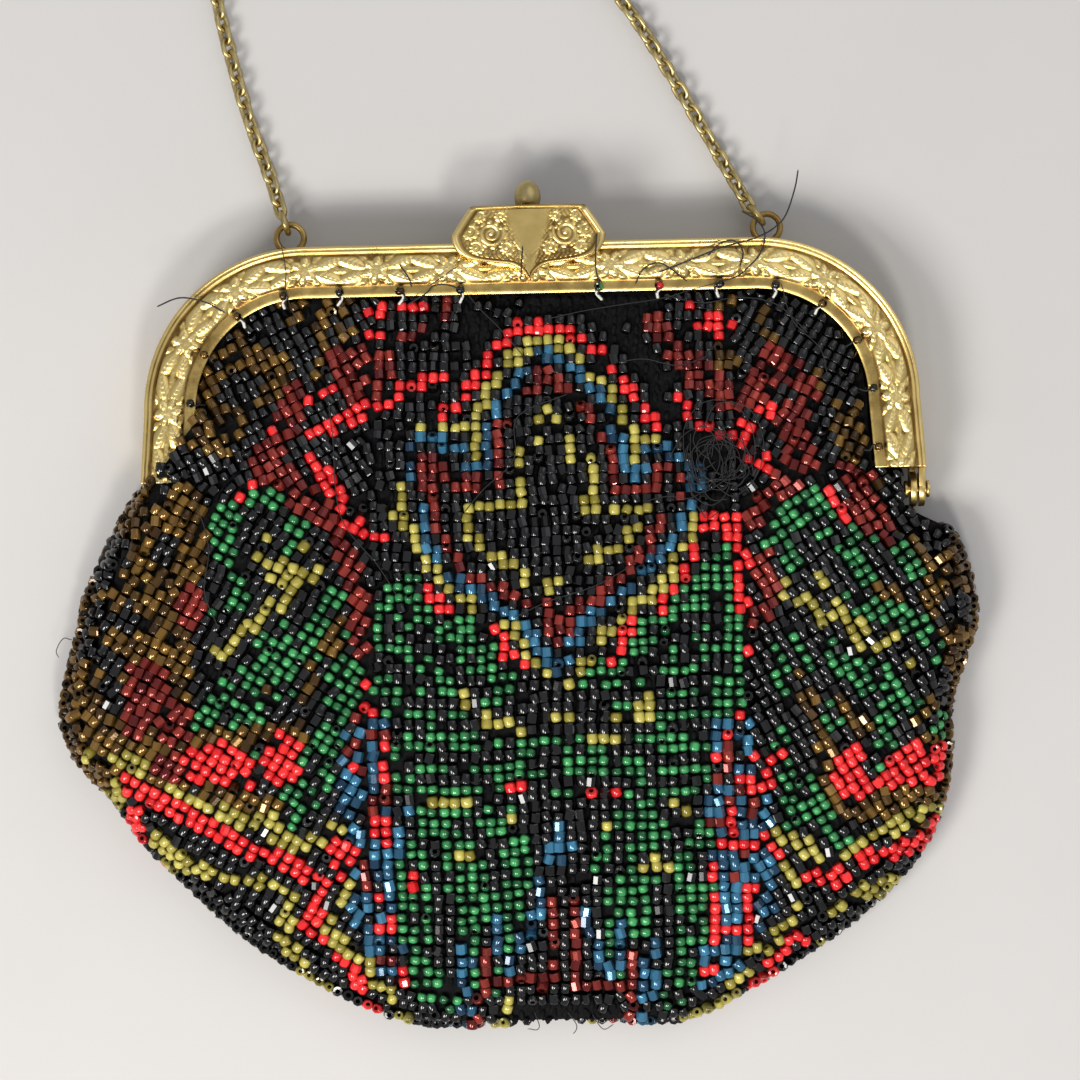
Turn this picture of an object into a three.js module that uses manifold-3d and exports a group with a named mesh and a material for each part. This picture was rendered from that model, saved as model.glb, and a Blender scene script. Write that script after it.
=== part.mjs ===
// A beaded evening bag lying on its back: an arched stamped-brass frame in two halves on hinge rivets,
// a clasp plate with an egg-shaped push knob, a carrying chain on two wire eyes, and a soft beaded pouch.
// Millimetres. The bag's front faces +Z, its frame is towards +Y, and it rests on the plane z = 0.

import * as THREE from 'three';
import { mergeVertices } from 'three/addons/utils/BufferGeometryUtils.js';
import Module from 'manifold-3d';

const wasm = await Module();
wasm.setup();

// Driving dimensions of the frame
const FRAME_DEPTH = 11;
const HALVES_GAP = 0.3;
const ARCH_TOP = 66.6;
const CORNER_RADIUS = 26;
const TOP_HALF = 35.7;
const CORNER_Y = ARCH_TOP - CORNER_RADIUS;
const LEG_DROP = 11.1;
const LEG_FLARE = 0.8;
const BAND_WIDTH = 8.2;
const LIP_THICK = 1.0;
const FIELD_INSET = 3.9;
const MID_RADIUS = CORNER_RADIUS - FIELD_INSET;
const CORNER_LENGTH = MID_RADIUS * Math.PI / 2;
const BAND_HALF_LENGTH = TOP_HALF + CORNER_LENGTH + LEG_DROP;
const CORNER_STEPS = 5;

// Section of the front half, from the parting edge over the rim and the stamped field to the sewing flange
const FLANGE_UNDER = 9.55;
const FRONT_SECTION = [
  { inset: 0, z: (FRAME_DEPTH + HALVES_GAP) / 2 },
  { inset: 0, z: 10.3 },
  { inset: 0.3, z: 10.6 },
  { inset: 1.0, z: 10.6 },
  { inset: 1.25, z: 10.2 },
  { inset: 1.6, z: 10.3 },
  { inset: FIELD_INSET, z: 10.5 },
  { inset: 6.2, z: 10.3 },
  { inset: 6.6, z: 10.15 },
  { inset: BAND_WIDTH, z: 10.15 },
  { inset: BAND_WIDTH, z: FLANGE_UNDER },
  { inset: LIP_THICK, z: FLANGE_UNDER },
  { inset: LIP_THICK, z: (FRAME_DEPTH + HALVES_GAP) / 2 },
];

// Stamped relief: flowers along the band with a pair of pointed leaves on either side of each
const FLOWER_FIRST = 12.8;
const FLOWER_PITCH = 11.5;
const FLOWERS_A_SIDE = 6;
const PETALS = 5;
const PETAL_REACH = 2.3;
const PETAL_NOTCH = 1.0;
const LEAF_OFFSET = 4.1;
const LEAF_INSET = 1.2;
const LEAF_LENGTH = 4.0;
const LEAF_WIDTH = 1.5;
const LEAF_SLANT = 0.4;
const RELIEF_ROOT = 9.95;
const RELIEF_RIM = 10.4;
const RELIEF_TOP = 10.9;

// Sewing holes in the flange
const HOLE_FIRST = 11;
const HOLE_PITCH = 9.6;
const HOLES_A_SIDE = 8;
const HOLE_INSET = 7.4;
const HOLE_RADIUS = 0.45;
const HOLE_SIDES = 5;
const HOLE_DRILL_LENGTH = 2;

// Hinges at the feet of the legs
const EAR_THICK = 1.0;
const EAR_GAP = 0.3;
const EAR_RADIUS = 2.8;
const HINGE_Y = 26;
const HINGE_Z = FRAME_DEPTH / 2;
const LEG_END_Y = CORNER_Y - LEG_DROP;
const LEG_END_X = TOP_HALF + CORNER_RADIUS + LEG_FLARE;
const FRONT_EAR_X = LEG_END_X - LIP_THICK / 2 - 0.1;
const BACK_EAR_X = FRONT_EAR_X - EAR_THICK - EAR_GAP;
const EAR_SIDES = 12;
const EAR_NECK_WIDTH = 2.6;
const EAR_NECK_RUN = 1.0;
const EAR_FOOT = { low: 0.2, high: 1.4 };
const RIVET_SIDES = 10;
const RIVET_RADIUS = 0.8;
const RIVET_CLEARANCE = 0.3;
const RIVET_HEAD_RADIUS = 1.4;
const RIVET_HEAD_THICK = 0.6;

// Clasp plate and push knob
const PLATE_BACK = 11.2;
const PLATE_THICK = 1.0;
const PLATE_BEVEL = 0.25;
const PLATE_RIM_WIDTH = 0.9;
const PLATE_RIM_HEIGHT = 0.35;
const PLATE_CURVE_STEPS = 6;
const PLATE = { tip: 60.2, ogee: 63.1, lobe: 63.6, waist: 67.6, top: 72.3, half: 12.2, topHalf: 9.0 };
const PLATE_CURVE = { tipPull: 1.2, ogeeDip: 0.2, ogeeX: 4, lobeX: 8, lobePull: 0.7 };
const SCROLL = { x: 5.6, y: 68.2, reach: 2.5, eye: 0.6, wire: 0.45, turns: 1.4, steps: 14, sides: 6 };
const KNOB_Z = 8.1;
const KNOB_STEM_RADIUS = 0.9;
const KNOB_CLEARANCE = 0.3;
const KNOB_SIDES = 14;
const KNOB_PROFILE = [
  { r: 0, y: 63.0 },
  { r: 1.4, y: 63.0 },
  { r: 1.4, y: 64.2 },
  { r: KNOB_STEM_RADIUS, y: 64.2 },
  { r: KNOB_STEM_RADIUS, y: 68.4 },
  { r: 1.6, y: 68.4 },
  { r: 1.6, y: 72.3 },
  { r: 1.95, y: 73.0 },
  { r: 2.12, y: 74.2 },
  { r: 1.85, y: 75.4 },
  { r: 1.15, y: 76.2 },
  { r: 0, y: 76.6 },
];

// Wire eyes on the back half, end rings through them, and the chain from ring to ring
const EYE_X = 38.3;
const EYE_Y = 68.6;
const EYE_Z = 2.9;
const EYE_RADIUS = 2.2;
const EYE_WIRE = 0.5;
const WIRE_SIDES = 6;
const LOOP_STEPS = 12;
const RING_RADIUS = 1.7;
const RING_WIRE = 0.5;
const RING_CLEARANCE = 0.3;
const RING_REACH = EYE_RADIUS + RING_RADIUS - EYE_WIRE - RING_WIRE - RING_CLEARANCE;
const CHAIN_RADIUS = 1.35;
const CHAIN_SIDES = 8;
const CHAIN_STEPS = 40;
const CHAIN_FLOOR_Z = 1.5;
const CHAIN_START = RING_REACH + RING_RADIUS + RING_WIRE + RING_CLEARANCE;
const LEFT_PULL = { x: -0.3, y: 0.954 };
const RIGHT_PULL = { x: -0.6, y: 0.8 };
// The way of the chain over the table, from the left end ring round to the right one
const CHAIN_ROUTE = [
  { x: -41.6, y: 79.2 },
  { x: -44.6, y: 88.0 },
  { x: -47.2, y: 97.8 },
  { x: -49.2, y: 107.0 },
  { x: -50.3, y: 117.0 },
  { x: -50.9, y: 128.0 },
  { x: -51.0, y: 140.0 },
  { x: -50.6, y: 152.0 },
  { x: -48.9, y: 161.0 },
  { x: -44.6, y: 168.6 },
  { x: -37.4, y: 172.4 },
  { x: -29.4, y: 169.6 },
  { x: -22.8, y: 162.2 },
  { x: -16.4, y: 153.0 },
  { x: -9.6, y: 143.0 },
  { x: -2.6, y: 132.5 },
  { x: 4.4, y: 122.2 },
  { x: 11.4, y: 112.2 },
  { x: 18.6, y: 102.0 },
  { x: 24.8, y: 91.5 },
  { x: 30.4, y: 81.6 },
];

// Sections of the pouch from its sewn top edge inside the frame to its foot: the two side edges, the height
// of the front at its edges and at its crown, and the height of the back at its edges and in the middle
const POUCH_WALL = 1.4;
const SHOULDER_Y = 22.3;
const POUCH_SECTIONS = [
  { y: 59.6, left: -35.7, right: 35.7, frontEdge: 9.25, crown: 9.25, backEdge: 1.75, back: 1.75 },
  { y: 58.0, left: -43.3, right: 43.3, frontEdge: 9.25, crown: 9.25, backEdge: 1.75, back: 1.75 },
  { y: 56.6, left: -46.0, right: 46.0, frontEdge: 9.25, crown: 9.8, backEdge: 1.75, back: 1.4 },
  { y: 54.0, left: -49.2, right: 49.2, frontEdge: 9.25, crown: 10.3, backEdge: 1.75, back: 0.8 },
  { y: 50.0, left: -52.2, right: 52.2, frontEdge: 9.25, crown: 10.9, backEdge: 1.75, back: 0.3 },
  { y: 45.0, left: -54.2, right: 54.2, frontEdge: 9.25, crown: 11.6, backEdge: 1.75, back: 0 },
  { y: 40.6, left: -54.7, right: 54.7, frontEdge: 9.25, crown: 12.2, backEdge: 1.75, back: 0 },
  { y: 35.0, left: -55.0, right: 55.0, frontEdge: 9.25, crown: 12.9, backEdge: 1.75, back: 0 },
  { y: 29.5, left: -55.3, right: 55.3, frontEdge: 9.25, crown: 13.6, backEdge: 1.75, back: 0 },
  { y: 26.5, left: -57.4, right: 57.4, frontEdge: 9.0, crown: 13.9, backEdge: 1.75, back: 0 },
  { y: 22.7, left: -58.6, right: 58.6, frontEdge: 8.8, crown: 14.2, backEdge: 1.75, back: 0 },
  { y: SHOULDER_Y, left: -63.2, right: 63.0, frontEdge: 8.0, crown: 14.3, backEdge: 2.0, back: 0 },
  { y: 20.0, left: -68.9, right: 67.2, frontEdge: 6.2, crown: 14.5, backEdge: 2.2, back: 0 },
  { y: 15.0, left: -71.0, right: 69.2, frontEdge: 5.6, crown: 14.8, backEdge: 2.2, back: 0 },
  { y: 9.0, left: -73.0, right: 70.6, frontEdge: 5.4, crown: 15.0, backEdge: 2.2, back: 0 },
  { y: 4.0, left: -74.6, right: 70.9, frontEdge: 5.3, crown: 15.2, backEdge: 2.2, back: 0 },
  { y: -3.0, left: -76.5, right: 68.0, frontEdge: 5.2, crown: 15.2, backEdge: 2.2, back: 0 },
  { y: -9.0, left: -77.2, right: 65.9, frontEdge: 5.2, crown: 15.0, backEdge: 2.2, back: 0 },
  { y: -15.0, left: -74.5, right: 66.4, frontEdge: 5.2, crown: 14.7, backEdge: 2.2, back: 0 },
  { y: -21.0, left: -68.7, right: 65.6, frontEdge: 5.2, crown: 14.1, backEdge: 2.2, back: 0 },
  { y: -28.0, left: -64.5, right: 63.6, frontEdge: 5.2, crown: 13.2, backEdge: 2.2, back: 0 },
  { y: -34.0, left: -58.0, right: 59.7, frontEdge: 5.2, crown: 12.2, backEdge: 2.2, back: 0 },
  { y: -40.0, left: -52.2, right: 53.5, frontEdge: 5.2, crown: 11.0, backEdge: 2.2, back: 0 },
  { y: -45.0, left: -46.6, right: 47.4, frontEdge: 5.2, crown: 9.9, backEdge: 2.2, back: 0 },
  { y: -50.0, left: -38.9, right: 39.2, frontEdge: 5.2, crown: 8.7, backEdge: 2.2, back: 0.1 },
  { y: -54.0, left: -31.7, right: 32.2, frontEdge: 5.1, crown: 7.6, backEdge: 2.2, back: 0.5 },
  { y: -57.0, left: -25.0, right: 27.0, frontEdge: 5.0, crown: 6.5, backEdge: 2.2, back: 1.1 },
  { y: -59.2, left: -16.0, right: 20.0, frontEdge: 4.8, crown: 5.0, backEdge: 2.2, back: 2.0 },
];
// Folds of the front: a valley from one point to the other, its depth and its half width
const POUCH_FOLDS = [
  { x0: -28.0, y0: 34.0, x1: -29.5, y1: -4.0, depth: 1.5, half: 4.5 },
  { x0: 38.5, y0: -4.0, x1: 37.0, y1: -30.0, depth: 1.7, half: 4.0 },
  { x0: -51.5, y0: 17.0, x1: -53.5, y1: -8.0, depth: 1.3, half: 4.5 },
  { x0: 31.0, y0: 36.0, x1: 35.5, y1: 4.0, depth: 1.2, half: 4.5 },
  { x0: -30.0, y0: -18.0, x1: -20.0, y1: -50.0, depth: 1.0, half: 4.0 },
];
const POUCH_CORNER_RADIUS = 19;
const POUCH_TUCK = 2.1;
const POUCH_SIDE_POWER = 2.6;
const POUCH_BACK_FLAT = 0.72;
const POUCH_COLUMNS = 22;
const POUCH_EDGE_CROWDING = 1.5;
const HOLLOW_COLUMNS = 10;
// The hollow's columns are wider apart than the outer ones, so its folds are wider too and keep the wall whole
const HOLLOW_FOLD_WIDENING = 2.1;
const HOLLOW_INSET = 2.2;
const HOLLOW_OVERRUN = 3;
const SWELL_FULL_Y = 15;
const SWELL_EASE = 1.8;
const FOLD_FADE = 3;
const MOUTH_END_HIGH = 29.5;
const MOUTH_END_LOW = 24.5;
const HOLLOW_TOP = 62;
const HOLLOW_FOOT = -56.4;

// A closed body from vertices and triangles, turned the right way out
function closedBody(vertices, triangles) {
  let volume = 0;
  for (const [a, b, c] of triangles) {
    const edge = new THREE.Vector3().crossVectors(vertices[b], vertices[c]);
    volume += vertices[a].dot(edge);
  }
  const turned = volume < 0 ? triangles.map(([a, b, c]) => [a, c, b]) : triangles;
  const geometry = new THREE.BufferGeometry().setFromPoints(vertices);
  geometry.setIndex(turned.flat());
  return geometry;
}

function solidOf(geometry) {
  const bare = geometry.clone();
  bare.deleteAttribute('normal');
  bare.deleteAttribute('uv');
  const merged = mergeVertices(bare, 1e-4);
  const vertProperties = new Float32Array(merged.attributes.position.array);
  const triVerts = new Uint32Array(merged.index.array);
  return new wasm.Manifold(new wasm.Mesh({ numProp: 3, vertProperties, triVerts }));
}

function geometryOf(solid) {
  const mesh = solid.getMesh();
  const geometry = new THREE.BufferGeometry();
  geometry.setAttribute('position', new THREE.BufferAttribute(mesh.vertProperties, 3));
  geometry.setIndex(new THREE.BufferAttribute(mesh.triVerts, 1));
  geometry.computeVertexNormals();
  return geometry;
}

function joined(solids) {
  return solids.reduce((whole, solid) => whole.add(solid));
}

// A point of the frame's band, a length along it from its top middle and an inset from its outer edge
function bandPoint(along, inset) {
  const side = along < 0 ? -1 : 1;
  const length = Math.abs(along);
  const radius = CORNER_RADIUS - inset;
  if (length <= TOP_HALF) {
    return { x: along, y: ARCH_TOP - inset };
  }
  const turn = (length - TOP_HALF) / MID_RADIUS;
  if (turn <= Math.PI / 2) {
    return { x: side * (TOP_HALF + radius * Math.sin(turn)), y: CORNER_Y + radius * Math.cos(turn) };
  }
  const drop = length - TOP_HALF - CORNER_LENGTH;
  return { x: side * (TOP_HALF + radius + LEG_FLARE * drop / LEG_DROP), y: CORNER_Y - drop };
}

// The stations along the band where its section is set: the feet, the corners and the straight top
function bandStations() {
  const half = [0];
  for (let step = 0; step <= CORNER_STEPS; step += 1) {
    half.push(TOP_HALF + CORNER_LENGTH * step / CORNER_STEPS);
  }
  half.push(BAND_HALF_LENGTH);
  const mirrored = half.slice(1).reverse().map((along) => -along);
  return [...mirrored, ...half];
}

// The plain band: the section swept along the arch and closed at its two feet
function bandSolid() {
  const stations = bandStations();
  const count = FRONT_SECTION.length;
  const vertices = [];
  const triangles = [];
  for (const along of stations) {
    for (const { inset, z } of FRONT_SECTION) {
      const { x, y } = bandPoint(along, inset);
      vertices.push(new THREE.Vector3(x, y, z));
    }
  }
  for (let s = 0; s < stations.length - 1; s += 1) {
    for (let p = 0; p < count; p += 1) {
      const a = s * count + p;
      const b = s * count + (p + 1) % count;
      triangles.push([a, b, a + count], [b, b + count, a + count]);
    }
  }
  const outline = FRONT_SECTION.map(({ inset, z }) => new THREE.Vector2(inset, z));
  const last = (stations.length - 1) * count;
  for (const [a, b, c] of THREE.ShapeUtils.triangulateShape(outline, [])) {
    triangles.push([a, b, c], [last + a, last + c, last + b]);
  }
  return solidOf(closedBody(vertices, triangles));
}

// A raised boss with a pointed crown over an outline given as lengths along the band and insets
function bossSolid(outline, crown) {
  const place = ({ along, inset }, z) => {
    const { x, y } = bandPoint(along, inset);
    return new THREE.Vector3(x, y, z);
  };
  const vertices = outline.map((point) => place(point, RELIEF_RIM));
  vertices.push(place(crown, RELIEF_TOP), place(crown, RELIEF_ROOT));
  const top = outline.length;
  const triangles = [];
  for (let p = 0; p < outline.length; p += 1) {
    const next = (p + 1) % outline.length;
    triangles.push([p, next, top], [next, p, top + 1]);
  }
  return solidOf(closedBody(vertices, triangles));
}

function flowerSolid(along) {
  const outline = [];
  for (let point = 0; point < 2 * PETALS; point += 1) {
    const angle = Math.PI * point / PETALS;
    const reach = point % 2 ? PETAL_NOTCH : PETAL_REACH;
    outline.push({ along: along + reach * Math.sin(angle), inset: FIELD_INSET - reach * Math.cos(angle) });
  }
  return bossSolid(outline, { along, inset: FIELD_INSET });
}

function leafSolid(along, direction, row) {
  const centre = { along: along + direction * LEAF_OFFSET, inset: FIELD_INSET + row * LEAF_INSET };
  const ahead = { along: direction * Math.cos(LEAF_SLANT), inset: row * Math.sin(LEAF_SLANT) };
  const across = { along: -ahead.inset, inset: ahead.along };
  const shift = (forward, sideways) => ({
    along: centre.along + forward * ahead.along + sideways * across.along,
    inset: centre.inset + forward * ahead.inset + sideways * across.inset,
  });
  const outline = [
    shift(LEAF_LENGTH / 2, 0),
    shift(0, LEAF_WIDTH / 2),
    shift(-LEAF_LENGTH / 2, 0),
    shift(0, -LEAF_WIDTH / 2),
  ];
  return bossSolid(outline, centre);
}

// The flowers and leaves of both sides; the clasp plate covers the place of the innermost leaves
function reliefSolid() {
  const bosses = [];
  for (const side of [-1, 1]) {
    for (let flower = 0; flower < FLOWERS_A_SIDE; flower += 1) {
      const along = side * (FLOWER_FIRST + FLOWER_PITCH * flower);
      bosses.push(flowerSolid(along));
      const directions = flower === 0 ? [side] : [-1, 1];
      for (const direction of directions) {
        bosses.push(leafSolid(along, direction, -1), leafSolid(along, direction, 1));
      }
    }
  }
  return joined(bosses);
}

function sewingHoles() {
  const holes = [];
  for (const side of [-1, 1]) {
    for (let hole = 0; hole < HOLES_A_SIDE; hole += 1) {
      const { x, y } = bandPoint(side * (HOLE_FIRST + HOLE_PITCH * hole), HOLE_INSET);
      const drill = new THREE.CylinderGeometry(HOLE_RADIUS, HOLE_RADIUS, HOLE_DRILL_LENGTH, HOLE_SIDES);
      drill.rotateX(Math.PI / 2);
      drill.translate(x, y, FLANGE_UNDER);
      holes.push(solidOf(drill));
    }
  }
  return joined(holes);
}

function rodAlongX(radius, x0, x1, sides) {
  const rod = new THREE.CylinderGeometry(radius, radius, Math.abs(x1 - x0), sides);
  rod.rotateZ(Math.PI / 2);
  rod.translate((x0 + x1) / 2, HINGE_Y, HINGE_Z);
  return solidOf(rod);
}

function blockSolid(low, high) {
  const size = new THREE.Vector3().subVectors(high, low);
  const centre = new THREE.Vector3().addVectors(low, high).multiplyScalar(0.5);
  const block = new THREE.BoxGeometry(size.x, size.y, size.z);
  block.translate(centre.x, centre.y, centre.z);
  return solidOf(block);
}

// An ear at the foot of a leg, with the neck that carries it on the front half's lip, drilled for its rivet
function earSolid(side, earX, neckOuterX) {
  const inner = earX - EAR_THICK / 2;
  const outer = earX + EAR_THICK / 2;
  const disc = rodAlongX(EAR_RADIUS, side * inner, side * outer, EAR_SIDES);
  const parting = (FRAME_DEPTH + HALVES_GAP) / 2;
  const neckLow = new THREE.Vector3(inner, HINGE_Y, parting);
  const neckHigh = new THREE.Vector3(outer, LEG_END_Y + EAR_NECK_RUN, parting + EAR_NECK_WIDTH);
  const footLow = new THREE.Vector3(inner, LEG_END_Y + EAR_FOOT.low, parting);
  const footHigh = new THREE.Vector3(neckOuterX, LEG_END_Y + EAR_FOOT.high, parting + EAR_NECK_WIDTH);
  const blocks = [[neckLow, neckHigh], [footLow, footHigh]].map(([low, high]) => {
    const from = new THREE.Vector3(Math.min(side * low.x, side * high.x), low.y, low.z);
    const to = new THREE.Vector3(Math.max(side * low.x, side * high.x), high.y, high.z);
    return blockSolid(from, to);
  });
  const bore = rodAlongX(RIVET_RADIUS + RIVET_CLEARANCE, side * (inner - 1), side * (outer + 1), RIVET_SIDES);
  return joined([disc, ...blocks]).subtract(bore);
}

// One half of the frame in the front half's place: the band, its relief, its holes and its two ears
function frameHalf(earX, neckOuterX) {
  const band = bandSolid().add(reliefSolid()).subtract(sewingHoles());
  const ears = [-1, 1].map((side) => earSolid(side, earX, neckOuterX));
  return joined([band, ...ears]);
}

function knobHole() {
  const radius = KNOB_STEM_RADIUS + KNOB_CLEARANCE;
  const drill = new THREE.CylinderGeometry(radius, radius, 3 * LIP_THICK, KNOB_SIDES);
  drill.translate(0, ARCH_TOP, KNOB_Z);
  return solidOf(drill);
}

function eyeSolid(side) {
  const eye = new THREE.TorusGeometry(EYE_RADIUS, EYE_WIRE, WIRE_SIDES, LOOP_STEPS);
  eye.translate(side * EYE_X, EYE_Y, EYE_Z);
  return solidOf(eye);
}

function frameFront() {
  return geometryOf(frameHalf(FRONT_EAR_X, LEG_END_X).subtract(knobHole()));
}

// The back half is the front half's stamping turned over, with its ears set inside the front ones
function frameBack() {
  const turned = geometryOf(frameHalf(BACK_EAR_X, LEG_END_X));
  turned.rotateY(Math.PI);
  turned.translate(0, 0, FRAME_DEPTH);
  return geometryOf(joined([solidOf(turned), eyeSolid(-1), eyeSolid(1)]));
}

function hingeRivet(side) {
  const innerFace = BACK_EAR_X - EAR_THICK / 2 - RIVET_CLEARANCE;
  const outerFace = FRONT_EAR_X + EAR_THICK / 2 + RIVET_CLEARANCE;
  const shank = rodAlongX(RIVET_RADIUS, side * innerFace, side * outerFace, RIVET_SIDES);
  const heads = [[innerFace - RIVET_HEAD_THICK, innerFace], [outerFace, outerFace + RIVET_HEAD_THICK]];
  const headSolids = heads.map(([x0, x1]) => rodAlongX(RIVET_HEAD_RADIUS, side * x0, side * x1, RIVET_SIDES));
  return geometryOf(joined([shank, ...headSolids]));
}

// The cartouche outline: a pointed ogee below, round lobes at the sides, and cut corners above
function plateShape(margin) {
  const half = PLATE.half - margin;
  const topHalf = PLATE.topHalf - margin / 2;
  const tip = PLATE.tip + 2 * margin;
  const top = PLATE.top - margin;
  const lobe = PLATE.lobe + margin;
  const ogee = PLATE.ogee + margin;
  const shape = new THREE.Shape();
  const { tipPull, ogeeDip, ogeeX, lobeX, lobePull } = PLATE_CURVE;
  shape.moveTo(0, tip);
  shape.quadraticCurveTo(tipPull, ogee - ogeeDip, ogeeX, ogee);
  shape.lineTo(lobeX, lobe);
  shape.quadraticCurveTo(half, lobe + lobePull, half, PLATE.waist);
  shape.lineTo(topHalf, top);
  shape.lineTo(-topHalf, top);
  shape.lineTo(-half, PLATE.waist);
  shape.quadraticCurveTo(-half, lobe + lobePull, -lobeX, lobe);
  shape.lineTo(-ogeeX, ogee);
  shape.quadraticCurveTo(-tipPull, ogee - ogeeDip, 0, tip);
  return shape;
}

// A raised scroll on the plate: a wire wound in a spiral, half sunk in the plate's face
function scrollSolid(side) {
  const points = [];
  for (let step = 0; step <= SCROLL.steps; step += 1) {
    const share = step / SCROLL.steps;
    const angle = share * SCROLL.turns * 2 * Math.PI;
    const reach = THREE.MathUtils.lerp(SCROLL.reach, SCROLL.eye, share);
    const x = side * (SCROLL.x + reach * Math.cos(angle));
    points.push(new THREE.Vector3(x, SCROLL.y - reach * Math.sin(angle), PLATE_BACK + PLATE_THICK));
  }
  const section = new THREE.Shape();
  for (let corner = 0; corner < SCROLL.sides; corner += 1) {
    const angle = corner * 2 * Math.PI / SCROLL.sides;
    const point = new THREE.Vector2(SCROLL.wire * Math.cos(angle), SCROLL.wire * Math.sin(angle));
    if (corner === 0) {
      section.moveTo(point.x, point.y);
    } else {
      section.lineTo(point.x, point.y);
    }
  }
  const path = new THREE.CatmullRomCurve3(points);
  const settings = { steps: SCROLL.steps, bevelEnabled: false, extrudePath: path };
  return solidOf(new THREE.ExtrudeGeometry(section, settings));
}

function claspPlate() {
  const body = new THREE.ExtrudeGeometry(plateShape(PLATE_BEVEL), {
    depth: PLATE_THICK - 2 * PLATE_BEVEL,
    bevelThickness: PLATE_BEVEL,
    bevelSize: PLATE_BEVEL,
    bevelSegments: 1,
    curveSegments: PLATE_CURVE_STEPS,
  });
  body.translate(0, 0, PLATE_BACK + PLATE_BEVEL);
  const rimShape = plateShape(PLATE_BEVEL);
  rimShape.holes.push(plateShape(PLATE_BEVEL + PLATE_RIM_WIDTH));
  const rimSettings = { depth: 2 * PLATE_RIM_HEIGHT, bevelEnabled: false, curveSegments: PLATE_CURVE_STEPS };
  const rim = new THREE.ExtrudeGeometry(rimShape, rimSettings);
  rim.translate(0, 0, PLATE_BACK + PLATE_THICK - PLATE_RIM_HEIGHT);
  const pieces = [solidOf(body), solidOf(rim), scrollSolid(-1), scrollSolid(1)];
  return geometryOf(joined(pieces));
}

function claspKnob() {
  const profile = KNOB_PROFILE.map(({ r, y }) => new THREE.Vector2(r, y));
  const knob = new THREE.LatheGeometry(profile, KNOB_SIDES);
  knob.translate(0, 0, KNOB_Z);
  return geometryOf(solidOf(knob));
}

function endRing(side, pull) {
  const ring = new THREE.TorusGeometry(RING_RADIUS, RING_WIRE, WIRE_SIDES, LOOP_STEPS);
  ring.rotateX(Math.PI / 2);
  ring.rotateZ(Math.atan2(pull.y, pull.x));
  ring.translate(side * EYE_X + RING_REACH * pull.x, EYE_Y + RING_REACH * pull.y, EYE_Z);
  return ring;
}

// The chain's outer form, a slim tube from one end ring to the other
function chainTube() {
  const startOf = (side, pull) => new THREE.Vector3(
    side * EYE_X + CHAIN_START * pull.x,
    EYE_Y + CHAIN_START * pull.y,
    EYE_Z,
  );
  const lying = CHAIN_ROUTE.map(({ x, y }) => new THREE.Vector3(x, y, CHAIN_FLOOR_Z));
  const path = new THREE.CatmullRomCurve3([startOf(-1, LEFT_PULL), ...lying, startOf(1, RIGHT_PULL)]);
  const section = new THREE.Shape();
  section.absarc(0, 0, CHAIN_RADIUS, 0, 2 * Math.PI, false);
  const settings = {
    steps: CHAIN_STEPS,
    curveSegments: CHAIN_SIDES / 2,
    bevelEnabled: false,
    extrudePath: path,
  };
  return geometryOf(solidOf(new THREE.ExtrudeGeometry(section, settings)));
}

// The pouch's section at any height, between the rows of its table
function pouchSection(y) {
  const rows = POUCH_SECTIONS;
  const low = THREE.MathUtils.clamp(rows.findIndex((row) => row.y <= y), 1, rows.length - 1);
  const lower = rows.at(rows.some((row) => row.y <= y) ? low : -1);
  const upper = rows[rows.indexOf(lower) - 1];
  const share = THREE.MathUtils.clamp((upper.y - y) / (upper.y - lower.y), 0, 1);
  const between = (column) => THREE.MathUtils.lerp(upper[column], lower[column], share);
  const left = between('left');
  const right = between('right');
  return {
    middle: (left + right) / 2,
    half: (right - left) / 2,
    frontEdge: between('frontEdge'),
    crown: between('crown'),
    backEdge: between('backEdge'),
    back: between('back'),
  };
}

function foldDepth(x, y, widening) {
  let depth = 0;
  for (const fold of POUCH_FOLDS) {
    const start = new THREE.Vector2(fold.x0, fold.y0);
    const run = new THREE.Vector2(fold.x1, fold.y1).sub(start);
    const place = new THREE.Vector2(x, y).sub(start);
    const along = THREE.MathUtils.clamp(place.dot(run) / run.lengthSq(), 0, 1);
    const away = place.sub(run.multiplyScalar(along)).length() / (fold.half * widening);
    depth += fold.depth * Math.exp(-away * away);
  }
  return depth;
}

// Half the width over which the pouch swells: clear of the frame's flange, and the whole width below it
function swellHalf(y, half) {
  if (y > CORNER_Y) {
    const reach = (POUCH_CORNER_RADIUS - POUCH_TUCK) ** 2 - (y - CORNER_Y) ** 2;
    return TOP_HALF + Math.sqrt(Math.max(reach, 0));
  }
  const below = THREE.MathUtils.clamp((MOUTH_END_HIGH - y) / (MOUTH_END_HIGH - SWELL_FULL_Y), 0, 1);
  const narrow = TOP_HALF + POUCH_CORNER_RADIUS - POUCH_TUCK;
  return THREE.MathUtils.lerp(narrow, half, below ** SWELL_EASE);
}

function frontHeight(x, y, widening = 1) {
  const section = pouchSection(y);
  const across = Math.min(Math.abs(x - section.middle) / swellHalf(y, section.half), 1);
  const swell = (1 - across ** POUCH_SIDE_POWER) ** (1 / POUCH_SIDE_POWER);
  const rise = section.crown - section.frontEdge;
  const soften = Math.min(swell * rise / FOLD_FADE, 1);
  return section.frontEdge + rise * swell - soften * foldDepth(x, y, widening);
}

function backHeight(x, y) {
  const section = pouchSection(y);
  const across = Math.min(Math.abs(x - section.middle) / swellHalf(y, section.half), 1);
  const lift = THREE.MathUtils.smoothstep(across, POUCH_BACK_FLAT, 1);
  return section.back + (section.backEdge - section.back) * lift;
}

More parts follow.
